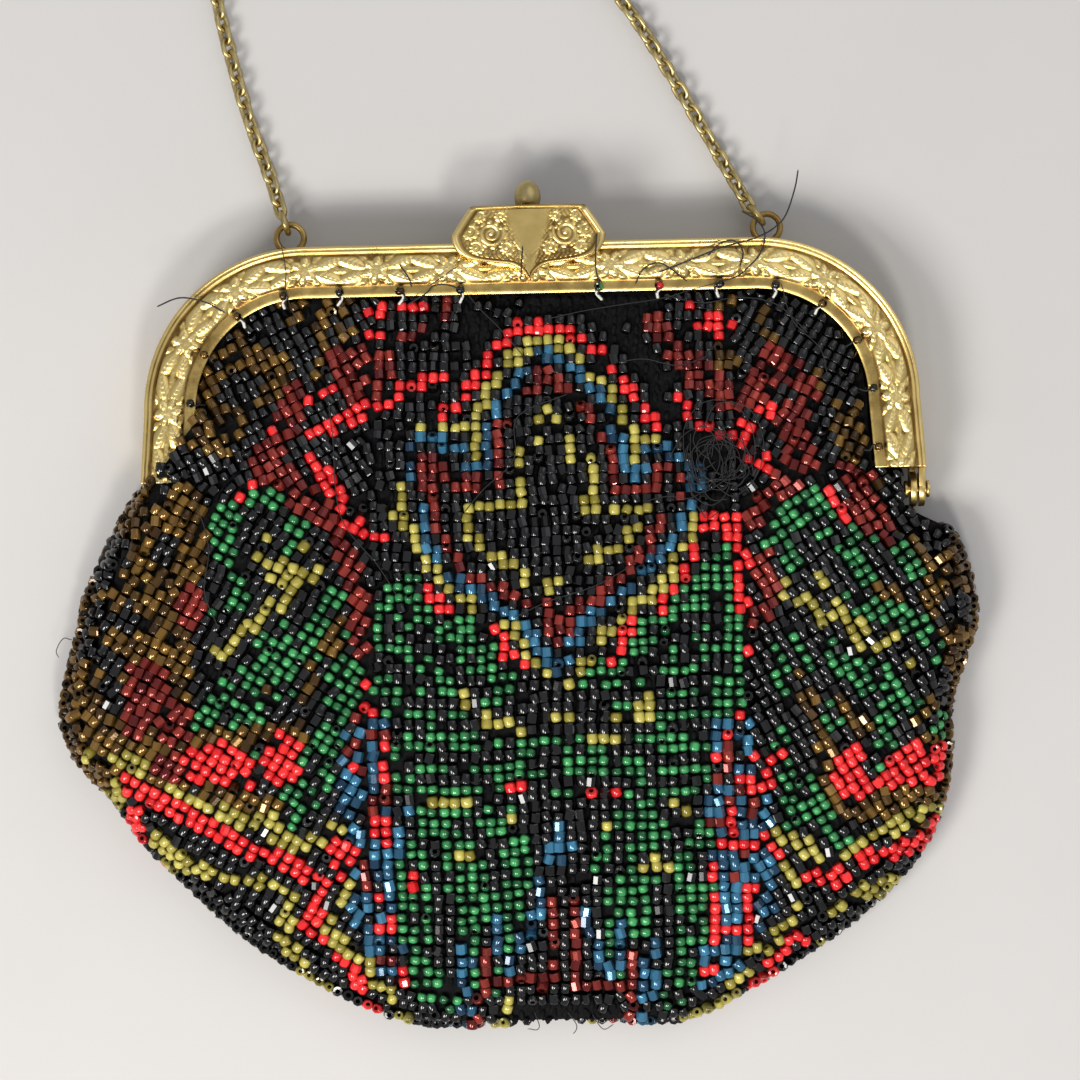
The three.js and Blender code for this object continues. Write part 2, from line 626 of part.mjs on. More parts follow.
// A closed lens between a front and a back surface over rows of equal count
function lensSolid(rows, columns, frontAt, backAt) {
  const vertices = [];
  for (const heightAt of [frontAt, backAt]) {
    for (const { y, middle, half } of rows) {
      for (let column = 0; column <= columns; column += 1) {
        const even = 2 * column / columns - 1;
        const across = Math.sign(even) * (1 - (1 - Math.abs(even)) ** POUCH_EDGE_CROWDING);
        const x = middle + half * across;
        vertices.push(new THREE.Vector3(x, y, heightAt(x, y)));
      }
    }
  }
  const stride = columns + 1;
  const layer = rows.length * stride;
  const triangles = [];
  const quad = (a, b, c, d) => triangles.push([a, b, c], [a, c, d]);
  for (let row = 0; row < rows.length - 1; row += 1) {
    for (let column = 0; column < columns; column += 1) {
      const a = row * stride + column;
      quad(a, a + stride, a + stride + 1, a + 1);
      quad(layer + a, layer + a + 1, layer + a + stride + 1, layer + a + stride);
    }
    const left = row * stride;
    const right = left + columns;
    quad(left, layer + left, layer + left + stride, left + stride);
    quad(right, right + stride, layer + right + stride, layer + right);
  }
  const foot = (rows.length - 1) * stride;
  for (let column = 0; column < columns; column += 1) {
    quad(column, column + 1, layer + column + 1, layer + column);
    const a = foot + column;
    quad(a, layer + a, layer + a + 1, a + 1);
  }
  return solidOf(closedBody(vertices, triangles));
}

// The hollow runs out past the sewn edges above the hinges, so the mouth is open from hinge to hinge
function hollowRow(y) {
  const { middle, half } = pouchSection(y);
  const closed = THREE.MathUtils.smoothstep(-y, -MOUTH_END_HIGH, -MOUTH_END_LOW);
  return { y, middle, half: half + THREE.MathUtils.lerp(HOLLOW_OVERRUN, -HOLLOW_INSET, closed) };
}

function pouch() {
  const outerRows = POUCH_SECTIONS.map(({ y }) => ({ y, ...pouchSection(y) }));
  const outer = lensSolid(outerRows, POUCH_COLUMNS, frontHeight, backHeight);
  const inside = POUCH_SECTIONS.map(({ y }) => y).filter((y) => y > HOLLOW_FOOT && y !== SHOULDER_Y);
  const hollowRows = [HOLLOW_TOP, ...inside, HOLLOW_FOOT].map(hollowRow);
  const frontInside = (x, y) => frontHeight(x, y, HOLLOW_FOLD_WIDENING) - POUCH_WALL;
  const backInside = (x, y) => backHeight(x, y) + POUCH_WALL;
  const hollow = lensSolid(hollowRows, HOLLOW_COLUMNS, frontInside, backInside);
  return geometryOf(outer.subtract(hollow));
}

const gilt = new THREE.MeshStandardMaterial({ color: 0xc9a342, metalness: 1, roughness: 0.35 });
const oldBrass = new THREE.MeshStandardMaterial({ color: 0x8c7840, metalness: 1, roughness: 0.45 });
const beadwork = new THREE.MeshStandardMaterial({ color: 0x2a2a26, metalness: 0, roughness: 0.6 });

function part(name, geometry, material) {
  const mesh = new THREE.Mesh(geometry, material);
  mesh.name = name;
  return mesh;
}

const bag = new THREE.Group();
bag.add(part('frame_front', frameFront(), gilt));
bag.add(part('frame_back', frameBack(), gilt));
bag.add(part('hinge_rivet_left', hingeRivet(-1), gilt));
bag.add(part('hinge_rivet_right', hingeRivet(1), gilt));
bag.add(part('clasp_plate', claspPlate(), gilt));
bag.add(part('clasp_knob', claspKnob(), oldBrass));
bag.add(part('end_ring_left', endRing(-1, LEFT_PULL), oldBrass));
bag.add(part('end_ring_right', endRing(1, RIGHT_PULL), oldBrass));
bag.add(part('chain', chainTube(), oldBrass));
bag.add(part('pouch', pouch(), beadwork));

export default bag;
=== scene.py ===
import math

import bpy
import numpy as np
from mathutils.bvhtree import BVHTree
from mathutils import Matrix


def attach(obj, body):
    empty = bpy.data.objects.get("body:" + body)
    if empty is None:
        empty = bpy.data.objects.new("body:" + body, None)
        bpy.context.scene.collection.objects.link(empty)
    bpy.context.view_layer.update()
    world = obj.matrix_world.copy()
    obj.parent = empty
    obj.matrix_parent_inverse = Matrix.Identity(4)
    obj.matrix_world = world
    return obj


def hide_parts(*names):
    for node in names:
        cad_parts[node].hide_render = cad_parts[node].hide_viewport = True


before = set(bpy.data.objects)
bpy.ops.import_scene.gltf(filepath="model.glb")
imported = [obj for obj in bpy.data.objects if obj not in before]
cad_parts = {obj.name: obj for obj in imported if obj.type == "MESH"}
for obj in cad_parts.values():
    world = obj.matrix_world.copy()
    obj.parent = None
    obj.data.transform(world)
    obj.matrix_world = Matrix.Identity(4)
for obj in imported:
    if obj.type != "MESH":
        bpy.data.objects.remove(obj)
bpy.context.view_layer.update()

# The picture: the bag lies on its back on a plain pale table and is seen from straight above, turned a
# little in the frame. Soft daylight comes from the lower left, with an even fill from the room.
MM = 0.001
VIEW_CENTRE = (0.76 * MM, 19.2 * MM)
VIEW_HEIGHT = 620 * MM
VIEW_LEVEL = 6 * MM
VIEW_WIDTH = 172.8 * MM
VIEW_TURN = math.radians(-1.3)
TABLE_GREY = (0.50, 0.488, 0.476)
TABLE_MOTTLE = 0.94
TABLE_SIZE = 4.0
TABLE_DROP = 0.4 * MM
ROOM_TINT = (0.93, 0.95, 1.0, 1)
ROOM_STRENGTH = 0.48

camera_data = bpy.data.cameras.new("camera")
camera_data.angle = 2 * math.atan(VIEW_WIDTH / 2 / (VIEW_HEIGHT - VIEW_LEVEL))
camera_data.clip_start = 0.01
camera = bpy.data.objects.new("camera", camera_data)
camera.location = (*VIEW_CENTRE, VIEW_HEIGHT)
camera.rotation_euler = (0, 0, VIEW_TURN)
bpy.context.scene.collection.objects.link(camera)
bpy.context.scene.camera = camera
bpy.context.scene.view_settings.view_transform = "Standard"


def soft_light(name, place, size, watts, colour):
    data = bpy.data.lights.new(name, "AREA")
    data.size = size
    data.energy = watts
    data.color = colour
    lamp = bpy.data.objects.new(name, data)
    lamp.location = place
    toward = -lamp.location
    lamp.rotation_euler = toward.to_track_quat("-Z", "Y").to_euler()
    bpy.context.scene.collection.objects.link(lamp)


soft_light("window", (-0.42, -0.40, 0.62), 0.30, 6.2, (1.0, 0.975, 0.94))
soft_light("lamp", (0.10, -0.55, 0.80), 0.16, 3.4, (1.0, 0.96, 0.9))
soft_light("room", (0.45, 0.55, 0.75), 0.9, 1.8, (0.95, 0.97, 1.0))
for name, x in (("bulb_left", -0.12), ("bulb_right", 0.12)):
    soft_light(name, (x, -0.62, 0.75), 0.04, 0.5, (1.0, 0.97, 0.92))
world = bpy.data.worlds.new("room")
world.use_nodes = True
world.node_tree.nodes["Background"].inputs["Color"].default_value = ROOM_TINT
world.node_tree.nodes["Background"].inputs["Strength"].default_value = ROOM_STRENGTH
bpy.context.scene.world = world


def shader(name, metal, rough):
    """A new material, its node tree and its principled shader."""
    material = bpy.data.materials.new(name)
    material.use_nodes = True
    tree = material.node_tree
    surface = tree.nodes["Principled BSDF"]
    surface.inputs["Metallic"].default_value = metal
    surface.inputs["Roughness"].default_value = rough
    return material, tree, surface


def add_node(tree, kind, values=None, **settings):
    node = tree.nodes.new(kind)
    for key, value in settings.items():
        setattr(node, key, value)
    for key, value in (values or {}).items():
        node.inputs[key].default_value = value
    return node


def pattern(tree, kind, values):
    """A texture node on the object's own coordinates."""
    coords = add_node(tree, "ShaderNodeTexCoord")
    node = add_node(tree, kind, values)
    tree.links.new(coords.outputs["Object"], node.inputs["Vector"])
    return node


def ramp(tree, source, stops):
    """A colour ramp on a value, from (place, colour) pairs."""
    node = tree.nodes.new("ShaderNodeValToRGB")
    node.color_ramp.elements[0].position = stops[0][0]
    node.color_ramp.elements[0].color = (*stops[0][1], 1)
    node.color_ramp.elements[1].position = stops[-1][0]
    node.color_ramp.elements[1].color = (*stops[-1][1], 1)
    for place, colour in stops[1:-1]:
        node.color_ramp.elements.new(place).color = (*colour, 1)
    tree.links.new(source, node.inputs["Fac"])
    return node.outputs["Color"]


def bump(tree, surface, source, strength, distance):
    node = add_node(tree, "ShaderNodeBump", {"Strength": strength, "Distance": distance})
    tree.links.new(source, node.inputs["Height"])
    tree.links.new(node.outputs["Normal"], surface.inputs["Normal"])


bpy.ops.object.select_all(action="DESELECT")
bpy.ops.mesh.primitive_plane_add(size=TABLE_SIZE, location=(0, 0, -TABLE_DROP))
table = bpy.context.object
table.name = "table"
table_look, tree, surface = shader("pale_table", 0.0, 0.75)
mottle = pattern(tree, "ShaderNodeTexNoise", {"Scale": 9.0, "Detail": 6.0, "Roughness": 0.6})
darker = tuple(TABLE_MOTTLE * c for c in TABLE_GREY)
tinted = ramp(tree, mottle.outputs["Fac"], [(0.3, darker), (0.7, TABLE_GREY)])
tree.links.new(tinted, surface.inputs["Base Color"])
table.data.materials.append(table_look)


# The two halves of the frame: sheet brass stamped with flowers and pairs of veined leaves between a plain
# rim and a low sewing flange, bent to an arch and gilt. Each has a hinge ear at the foot of either leg, and
# the back half has the two wire eyes for the chain soldered on its top edge.
FRAME_DEPTH = 11.0
ARCH_TOP = 66.6
CORNER_RADIUS = 26.0
TOP_HALF = 35.7
CORNER_Y = ARCH_TOP - CORNER_RADIUS
LEG_DROP = 11.1
LEG_FLARE = 0.8
BAND_WIDTH = 8.2
FIELD_INSET = 3.9
FIELD_HALF = 2.4
MID_RADIUS = CORNER_RADIUS - FIELD_INSET
CORNER_LENGTH = MID_RADIUS * math.pi / 2
BAND_HALF_LENGTH = TOP_HALF + CORNER_LENGTH + LEG_DROP
BAND_STEP = 0.22
FIELD_COLUMNS = 34
FIELD_FADE = 0.25
FIELD_SINK = 0.05
FLOWER_FIRST = 12.8
FLOWER_PITCH = 11.5
PARTING = 0.15
LIP_Z = FRAME_DEPTH / 2 + PARTING
RIM_Z = 10.6
GROOVE_Z = 10.2
FIELD_Z = 10.3
FIELD_RISE = 0.2
FLANGE_Z = 10.15
FLANGE_UNDER = 9.55
GILT = (0.68, 0.49, 0.165)
GILT_BRIGHT = (0.86, 0.67, 0.29)
GILT_DARK = (0.20, 0.11, 0.03)
SEWING_FIRST = 11.0
SEWING_PITCH = 9.6
SEWING_COUNT = 8
SEWING_INSET = 7.4
SEWING_RADIUS = 0.45
FRONT_PUNCH = (8.8, 11.5)
BACK_PUNCH = (-0.5, 2.2)
PLAIN_TONE = 0.45
EYE_TONE = 0.12


def band_point(along, inset):
    """Places on the band from the length along it from its top middle and the inset from its outer edge."""
    side = np.where(along < 0, -1.0, 1.0)
    length = np.abs(along)
    radius = CORNER_RADIUS - inset
    turn = np.clip((length - TOP_HALF) / MID_RADIUS, 0, math.pi / 2)
    drop = np.clip(length - TOP_HALF - CORNER_LENGTH, 0, None)
    x = np.minimum(length, TOP_HALF) + radius * np.sin(turn) + LEG_FLARE * drop / LEG_DROP
    y = CORNER_Y + radius * np.cos(turn) - drop
    return side * x, y


def leaf_height(forward, sideways, length, width):
    """A pointed leaf one high, its two halves sloping from a grooved mid-rib, with slanting veins."""
    share = np.clip(1 - (2 * forward / length) ** 2, 0, 1)
    edge = np.maximum(width / 2 * share ** 0.8, 1e-6)
    across = np.abs(sideways) / edge
    body = np.clip(1 - across, 0, 1) ** 0.62 * share ** 0.3
    veins = 0.14 * np.cos(8.0 * (forward + 0.9 * np.abs(sideways))) * np.clip(1 - across, 0, 1)
    rib = 0.3 * np.exp(-(sideways / 0.1) ** 2)
    return np.where(across < 1, body * (1 + veins - rib), 0)


def stamped_height(along, across):
    """Height of the stamped field: six-petalled flowers in sprays of veined leaves that fill the band."""
    reach = np.abs(along) - FLOWER_FIRST
    index = np.floor(reach / FLOWER_PITCH + 0.5)
    local = reach - index * FLOWER_PITCH
    height = 0.05 * np.abs(np.sin(6.5 * along + 3.0 * across) * np.sin(5.2 * across - 2.0 * along))

    def leaf(at, side, slant, length, width, rise):
        forward = np.cos(slant) * (local - at) + np.sin(slant) * (across - side)
        sideways = np.cos(slant) * (across - side) - np.sin(slant) * (local - at)
        np.maximum(height, rise * leaf_height(forward, sideways, length, width), out=height)

    for direction in (-1, 1):
        leaf(direction * 5.0, 0.0, 0.0, 2.8, 1.2, 0.30)
        for row in (-1, 1):
            leaf(direction * 3.9, row * 1.2, direction * row * 0.34, 5.2, 2.4, 0.50)
            leaf(direction * 2.1, row * 2.0, direction * row * 0.9, 2.3, 1.1, 0.34)
            leaf(direction * 5.3, row * 1.95, -direction * row * 0.5, 2.6, 1.1, 0.34)
    turn = 0.4 * np.sin(7.3 * index)
    for petal in range(6):
        angle = turn + petal * math.pi / 3
        leaf(1.25 * np.cos(angle), 1.25 * np.sin(angle), angle, 2.5, 1.6, 0.56)
    radius = np.hypot(local, across)
    return np.maximum(height, 0.44 * np.clip(1 - (radius / 0.55) ** 2, 0, 1) ** 0.5)


def mesh_from_quads(name, points, quads):
    """A smooth mesh object from arrays of points in metres and of quads."""
    mesh = bpy.data.meshes.new(name)
    mesh.vertices.add(len(points))
    mesh.vertices.foreach_set("co", np.asarray(points, np.float32).ravel())
    mesh.loops.add(4 * len(quads))
    mesh.loops.foreach_set("vertex_index", np.asarray(quads, np.int32).ravel())
    mesh.polygons.add(len(quads))
    mesh.polygons.foreach_set("loop_start", np.arange(0, 4 * len(quads), 4, dtype=np.int32))
    mesh.polygons.foreach_set("loop_total", np.full(len(quads), 4, np.int32))
    mesh.update(calc_edges=True)
    mesh.validate()
    mesh.polygons.foreach_set("use_smooth", np.full(len(mesh.polygons), True))
    piece = bpy.data.objects.new(name, mesh)
    bpy.context.scene.collection.objects.link(piece)
    return piece


def ring_quads(rows, columns, closed_rows=False, closed_columns=True):
    """Quads of a grid of points, joined round its rows or columns where asked."""
    r = np.arange(rows if closed_rows else rows - 1)
    c = np.arange(columns if closed_columns else columns - 1)
    r, c = np.meshgrid(r, c, indexing="ij")
    nr = (r + 1) % rows
    nc = (c + 1) % columns
    quads = np.stack([r * columns + c, nr * columns + c, nr * columns + nc, r * columns + nc], axis=-1)
    return quads.reshape(-1, 4)


def set_attribute(piece, name, values):
    layer = piece.data.attributes.new(name, "FLOAT", "POINT")
    layer.data.foreach_set("value", np.asarray(values, np.float32))


def gilt_brass(name, worn):
    """Gilt sheet brass, brown in stains and with painted shade in the hollows of the stamping, lighter on
    the raised parts and rubbed bright in places.
    """
    material, tree, surface = shader(name, 1.0, 0.3)
    height = add_node(tree, "ShaderNodeAttribute", attribute_name="relief")
    cloud = pattern(tree, "ShaderNodeTexNoise", {"Scale": 260.0, "Detail": 5.0, "Roughness": 0.65})
    stain = pattern(tree, "ShaderNodeTexNoise", {"Scale": 75.0, "Detail": 6.0, "Roughness": 0.7})
    grain = pattern(tree, "ShaderNodeTexNoise", {"Scale": 1900.0, "Detail": 3.0})
    mixed = add_node(tree, "ShaderNodeMath", {1: worn, 2: -worn / 2}, operation="MULTIPLY_ADD")
    tree.links.new(cloud.outputs["Fac"], mixed.inputs[0])
    fading = {"From Min": 0.55, "From Max": 0.72, "To Min": 0.0, "To Max": -0.26}
    stained = add_node(tree, "ShaderNodeMapRange", fading)
    tree.links.new(stain.outputs["Fac"], stained.inputs["Value"])
    total = height.outputs["Fac"]
    for part in (mixed.outputs[0], stained.outputs["Result"]):
        adding = add_node(tree, "ShaderNodeMath", operation="ADD")
        tree.links.new(total, adding.inputs[0])
        tree.links.new(part, adding.inputs[1])
        total = adding.outputs[0]
    # The relief tone puts painted shade in the hollows and lightens the raised parts; stains and wear are
    # added to it
    colour = ramp(tree, total, [(0.02, GILT_DARK), (0.36, GILT), (0.9, GILT_BRIGHT)])
    tree.links.new(colour, surface.inputs["Base Color"])
    gloss = add_node(tree, "ShaderNodeMapRange", {"To Min": 0.2, "To Max": 0.4})
    tree.links.new(cloud.outputs["Fac"], gloss.inputs["Value"])
    tree.links.new(gloss.outputs["Result"], surface.inputs["Roughness"])
    bump(tree, surface, grain.outputs["Fac"], 0.16, 0.0001)
    return material


GILT_LOOK = gilt_brass("gilt_brass", 0.5)

field_across = np.linspace(-FIELD_HALF, FIELD_HALF, FIELD_COLUMNS)
field_base = FIELD_Z + FIELD_RISE * (1 - (field_across / FIELD_HALF) ** 2)
# Across the band, before and after the stamped field: inset from the outer edge, height and tone, the tone
# with painted shade in the grooves and lighter on the rim's crown
RIM_SECTION = [
    (0.0, LIP_Z, 0.45), (0.0, 10.25, 0.45), (0.08, 10.48, 0.6), (0.3, RIM_Z, 0.7), (0.55, 10.54, 0.5),
    (0.62, 10.42, 0.15), (0.72, 10.42, 0.15), (0.8, 10.54, 0.5), (1.05, 10.56, 0.6),
    (1.25, GROOVE_Z, 0.05),
]
FLANGE_SECTION = [
    (6.4, GROOVE_Z, 0.02), (6.6, FLANGE_Z, 0.2), (7.4, FLANGE_Z, 0.26), (BAND_WIDTH - 0.1, FLANGE_Z, 0.3),
    (BAND_WIDTH, FLANGE_Z - 0.1, 0.2), (BAND_WIDTH, FLANGE_UNDER, 0.3), (1.0, FLANGE_UNDER, 0.2),
    (1.0, LIP_Z, 0.3),
]


def frame_half(name, turned_over):
    """One stamped half as a mesh, the front one or the same stamping turned over."""
    along = np.linspace(-BAND_HALF_LENGTH, BAND_HALF_LENGTH, int(2 * BAND_HALF_LENGTH / BAND_STEP))
    rim, flange = np.array(RIM_SECTION), np.array(FLANGE_SECTION)
    insets = np.concatenate([rim[:, 0], FIELD_INSET + field_across, flange[:, 0]])
    x, y = band_point(*np.meshgrid(along, insets, indexing="ij"))
    relief = stamped_height(along[:, None], field_across[None, :])
    relief = relief * np.clip((FIELD_HALF - np.abs(field_across)) / FIELD_FADE, 0, 1)
    unstamped = np.zeros(FIELD_COLUMNS)
    z = np.tile(np.concatenate([rim[:, 1], unstamped, flange[:, 1]]), (len(along), 1))
    tone = np.tile(np.concatenate([rim[:, 2], unstamped, flange[:, 2]]), (len(along), 1))
    field = slice(len(rim), len(rim) + FIELD_COLUMNS)
    z[:, field] = field_base + relief - FIELD_SINK
    # Painted shade: the field's tone follows its height, dark in the hollows of the stamping and light on
    # the raised parts
    tone[:, field] = np.clip(0.04 + relief * 1.9, 0, 1)
    points = np.stack([x, y, z], axis=-1)
    if turned_over:
        points[..., 0] = -points[..., 0]
        points[..., 2] = FRAME_DEPTH - points[..., 2]
    piece = mesh_from_quads(name, points.reshape(-1, 3) * MM, ring_quads(*x.shape))
    set_attribute(piece, "relief", tone.ravel())
    return piece


def select_only(*pieces):
    bpy.ops.object.select_all(action="DESELECT")
    for piece in pieces:
        piece.select_set(True)
    bpy.context.view_layer.objects.active = pieces[0]


def seal(piece, reach):
    """Joins the points of the piece that lie within reach in millimetres, and turns its faces outward."""
    select_only(piece)
    bpy.ops.object.mode_set(mode="EDIT")
    bpy.ops.mesh.select_all(action="SELECT")
    bpy.ops.mesh.remove_doubles(threshold=reach * MM)
    bpy.ops.mesh.normals_make_consistent(inside=False)
    bpy.ops.object.mode_set(mode="OBJECT")


def joined(name, pieces):
    """The pieces as one object of that name, with its place in its mesh."""
    select_only(*pieces)
    bpy.ops.object.join()
    piece = bpy.context.object
    piece.name = name
    piece.data.name = name
    bpy.ops.object.transform_apply(location=True, rotation=True, scale=True)
    return piece


SHARP_EDGE = math.radians(40)


def rod(radius, start, end, sides=28, bevel=0.0):
    """A round rod between two points in millimetres, with softened ends."""
    start = np.array(start, float) * MM
    end = np.array(end, float) * MM
    bpy.ops.object.select_all(action="DESELECT")
    axis = end - start
    bpy.ops.mesh.primitive_cylinder_add(vertices=sides, radius=radius * MM, depth=np.linalg.norm(axis))
    piece = bpy.context.object
    if abs(axis[0]) > abs(axis[1]):
        piece.rotation_euler = (0, math.pi / 2, 0)
    elif abs(axis[1]) > abs(axis[2]):
        piece.rotation_euler = (math.pi / 2, 0, 0)
    piece.location = (start + end) / 2
    bpy.ops.object.transform_apply(location=True, rotation=True, scale=True)
    if bevel:
        round_edges(piece, bevel)
    bpy.ops.object.shade_smooth_by_angle(angle=SHARP_EDGE)
    return piece


def round_edges(piece, width):
    softened = piece.modifiers.new("softened", "BEVEL")
    softened.width = width * MM
    softened.segments = 2
    softened.limit_method = "ANGLE"
    select_only(piece)
    bpy.ops.object.modifier_apply(modifier="softened")


def block(low, high, bevel):
    low = np.array(low, float) * MM
    high = np.array(high, float) * MM
    bpy.ops.object.select_all(action="DESELECT")
    bpy.ops.mesh.primitive_cube_add(size=1.0, location=(low + high) / 2)
    piece = bpy.context.object
    piece.scale = high - low
    bpy.ops.object.transform_apply(location=True, rotation=True, scale=True)
    round_edges(piece, bevel)
    bpy.ops.object.shade_smooth_by_angle(angle=SHARP_EDGE)
    return piece


HINGE_Y = 26.0
HINGE_Z = FRAME_DEPTH / 2
EAR_RADIUS = 2.8
LEG_END_Y = CORNER_Y - LEG_DROP
LEG_END_X = TOP_HALF + CORNER_RADIUS + LEG_FLARE
FRONT_EAR = (61.4, 62.4)
BACK_EAR = (60.1, 61.1)
EAR_NECK = 2.6
EAR_BEVEL = 0.15


def hinge_ears(ear, way):
    """The ear of each leg with its neck, above or below the plane where the halves part."""
    pieces = []
    for side in (-1, 1):
        inner, outer = side * ear[0], side * ear[1]
        ends = ((x, HINGE_Y, HINGE_Z) for x in (inner, outer))
        pieces.append(rod(EAR_RADIUS, *ends, bevel=EAR_BEVEL))
        low_z, high_z = sorted((HINGE_Z + PARTING * way, HINGE_Z + way * (PARTING + EAR_NECK)))
        low_x, high_x = sorted((inner, outer))
        pieces.append(block((low_x, HINGE_Y, low_z), (high_x, LEG_END_Y + 1.0, high_z), EAR_BEVEL))
        low_x, high_x = sorted((inner, side * LEG_END_X))
        pieces.append(block((low_x, LEG_END_Y + 0.2, low_z), (high_x, LEG_END_Y + 1.4, high_z), EAR_BEVEL))
    return pieces


EYE_X = 38.3
EYE_Y = 68.6
EYE_Z = 2.9
EYE_RADIUS = 2.2
EYE_WIRE = 0.5


def wire_ring(radius, wire, place, turn=(0, 0, 0)):
    bpy.ops.object.select_all(action="DESELECT")
    bpy.ops.mesh.primitive_torus_add(
        major_radius=radius * MM, minor_radius=wire * MM, major_segments=40, minor_segments=14,
        location=tuple(c * MM for c in place), rotation=turn)
    piece = bpy.context.object
    bpy.ops.object.transform_apply(location=True, rotation=True, scale=True)
    bpy.ops.object.shade_smooth()
    return piece


def finish_frame(name, node, pieces):
    piece = joined(name, pieces)
    piece.data.materials.clear()
    piece.data.materials.append(GILT_LOOK)
    layer = piece.data.attributes["relief"].data
    tones = np.zeros(len(layer), np.float32)
    layer.foreach_get("value", tones)
    tones[tones == 0] = PLAIN_TONE
    layer.foreach_set("value", tones)
    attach(piece, "bag")
    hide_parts(node)
    return piece


def sewn_half(name, turned_over):
    """A half with its two ends closed and its sewing holes pierced through the flange."""
    half = frame_half(name, turned_over)
    select_only(half)
    bpy.ops.object.mode_set(mode="EDIT")
    bpy.ops.mesh.select_all(action="SELECT")
    bpy.ops.mesh.fill_holes(sides=0)
    bpy.ops.mesh.normals_make_consistent(inside=False)
    bpy.ops.object.mode_set(mode="OBJECT")
    punches = []
    for side in (-1, 1):
        for number in range(SEWING_COUNT):
            x, y = band_point(np.array(side * (SEWING_FIRST + number * SEWING_PITCH)), SEWING_INSET)
            low, high = BACK_PUNCH if turned_over else FRONT_PUNCH
            punches.append(rod(SEWING_RADIUS, (x, y, low), (x, y, high), sides=16))
    punch = joined("punch", punches)
    pierced = half.modifiers.new("pierced", "BOOLEAN")
    pierced.object = punch
    pierced.operation = "DIFFERENCE"
    pierced.solver = "MANIFOLD"
    select_only(half)
    bpy.ops.object.modifier_apply(modifier="pierced")
    bpy.data.objects.remove(punch)
    return half


front_half = sewn_half("frame_front_stamped", False)
finish_frame("frame_front_stamped", "frame_front", [front_half, *hinge_ears(FRONT_EAR, 1)])
back_half = sewn_half("frame_back_stamped", True)
eyes = [wire_ring(EYE_RADIUS, EYE_WIRE, (side * EYE_X, EYE_Y, EYE_Z)) for side in (-1, 1)]
for eye in eyes:
    set_attribute(eye, "relief", np.full(len(eye.data.vertices), EYE_TONE))
finish_frame("frame_back_stamped", "frame_back", [back_half, *hinge_ears(BACK_EAR, -1), *eyes])


# The hinge rivets: short brass pins through the ears, their ends hammered to low round heads.
RIVET_RADIUS = 0.8
RIVET_HEAD = 1.4
RIVET_BEVEL = 0.25
RIVET_TONE = 0.5
SHANK_SPAN = (59.8, 62.7)
INNER_HEAD_SPAN = (59.2, 59.85)
OUTER_HEAD_SPAN = (62.65, 63.3)


def hinge_pin(side, radius, span, bevel):
    near, far = ((side * x, HINGE_Y, HINGE_Z) for x in span)
    return rod(radius, near, far, bevel=bevel)


for side, word in ((-1, "left"), (1, "right")):
    shank = hinge_pin(side, RIVET_RADIUS, SHANK_SPAN, 0.0)
    inner_head = hinge_pin(side, RIVET_HEAD, INNER_HEAD_SPAN, RIVET_BEVEL)
    outer_head = hinge_pin(side, RIVET_HEAD, OUTER_HEAD_SPAN, RIVET_BEVEL)
    rivet = joined(f"hinge_rivet_{word}_pin", [shank, inner_head, outer_head])
    set_attribute(rivet, "relief", np.full(len(rivet.data.vertices), RIVET_TONE))
    rivet.data.materials.append(GILT_LOOK)
    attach(rivet, "bag")
    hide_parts(f"hinge_rivet_{word}")


# The clasp plate: a cartouche of stamped brass on the top of the front half, with a rolled rim, scrolls of
# leaves in low relief on either side and a plain shield in the middle.
PLATE_BACK = 11.2
PLATE_FACE = 12.2
PLATE_RIM = 12.62
PLATE_CENTRE = (0.0, 67.4)
PLATE_RINGS = 66
FACE_SHARE = 0.86
FACE_FADE = 0.02
FACE_SINK = 0.06
CREST_Y = 71.7
CREST_BLEND = 0.4
CREST_DROP = 0.45
CREST_SHADE = 0.85
BRIM_SHARE = 0.91
BRIM_BLEND = 0.06
BRIM_ROWS = 8
SEAL_REACH = 0.004
# From the carved face over the rim to the back: share of the way out to the outline, level and tone, the
# tone with painted shade in the hollow at the rim's foot and lighter on its crown
PLATE_EDGE = np.array([
    (0.875, 12.12, 0.05), (0.89, 12.12, 0.05), (0.905, 12.36, 0.35), (0.925, 12.54, 0.6),
    (0.95, PLATE_RIM, 0.75), (0.975, 12.56, 0.7), (0.99, 12.4, 0.6), (1.0, 12.2, 0.5),
    (1.0, 11.35, 0.4), (0.985, PLATE_BACK, 0.3), (0.0, PLATE_BACK, 0.3),
])
# Each coiled tendril of the right half: its middle, radius, starting angle and way round
PLATE_CURLS = (
    ((5.9, 67.9), 2.0, 2.7, 1),
    ((9.2, 68.4), 1.15, 0.4, -1),
    ((3.5, 65.6), 1.0, 1.6, -1),
    ((7.6, 70.6), 0.85, 3.9, -1),
    ((8.3, 65.7), 0.95, 0.8, 1),
    ((4.3, 70.6), 0.75, 5.0, 1),
)


def curve_points(start, pull, end, count):
    t = np.linspace(0, 1, count, endpoint=False)[:, None]
    start, pull, end = (np.array(p, float) for p in (start, pull, end))
    return (1 - t) ** 2 * start + 2 * t * (1 - t) * pull + t ** 2 * end


def plate_outline():
    half = [
        curve_points((0, 60.2), (1.2, 62.9), (4, 63.1), 34),
        curve_points((4, 63.1), (6, 63.3), (8, 63.6), 20),
        curve_points((8, 63.6), (12.2, 64.3), (12.2, 67.6), 44),
        curve_points((12.2, 67.6), (10.8, 69.9), (9.2, 72.1), 30),
        curve_points((9.2, 72.1), (9.0, 72.3), (8.6, 72.3), 4),
        curve_points((8.6, 72.3), (4, 72.45), (0, 72.45), 44),
    ]
    right = np.concatenate(half)
    left = right[1:][::-1] * np.array([-1, 1])
    top = np.array([[0, 72.45]])
    return np.concatenate([right, top, left])


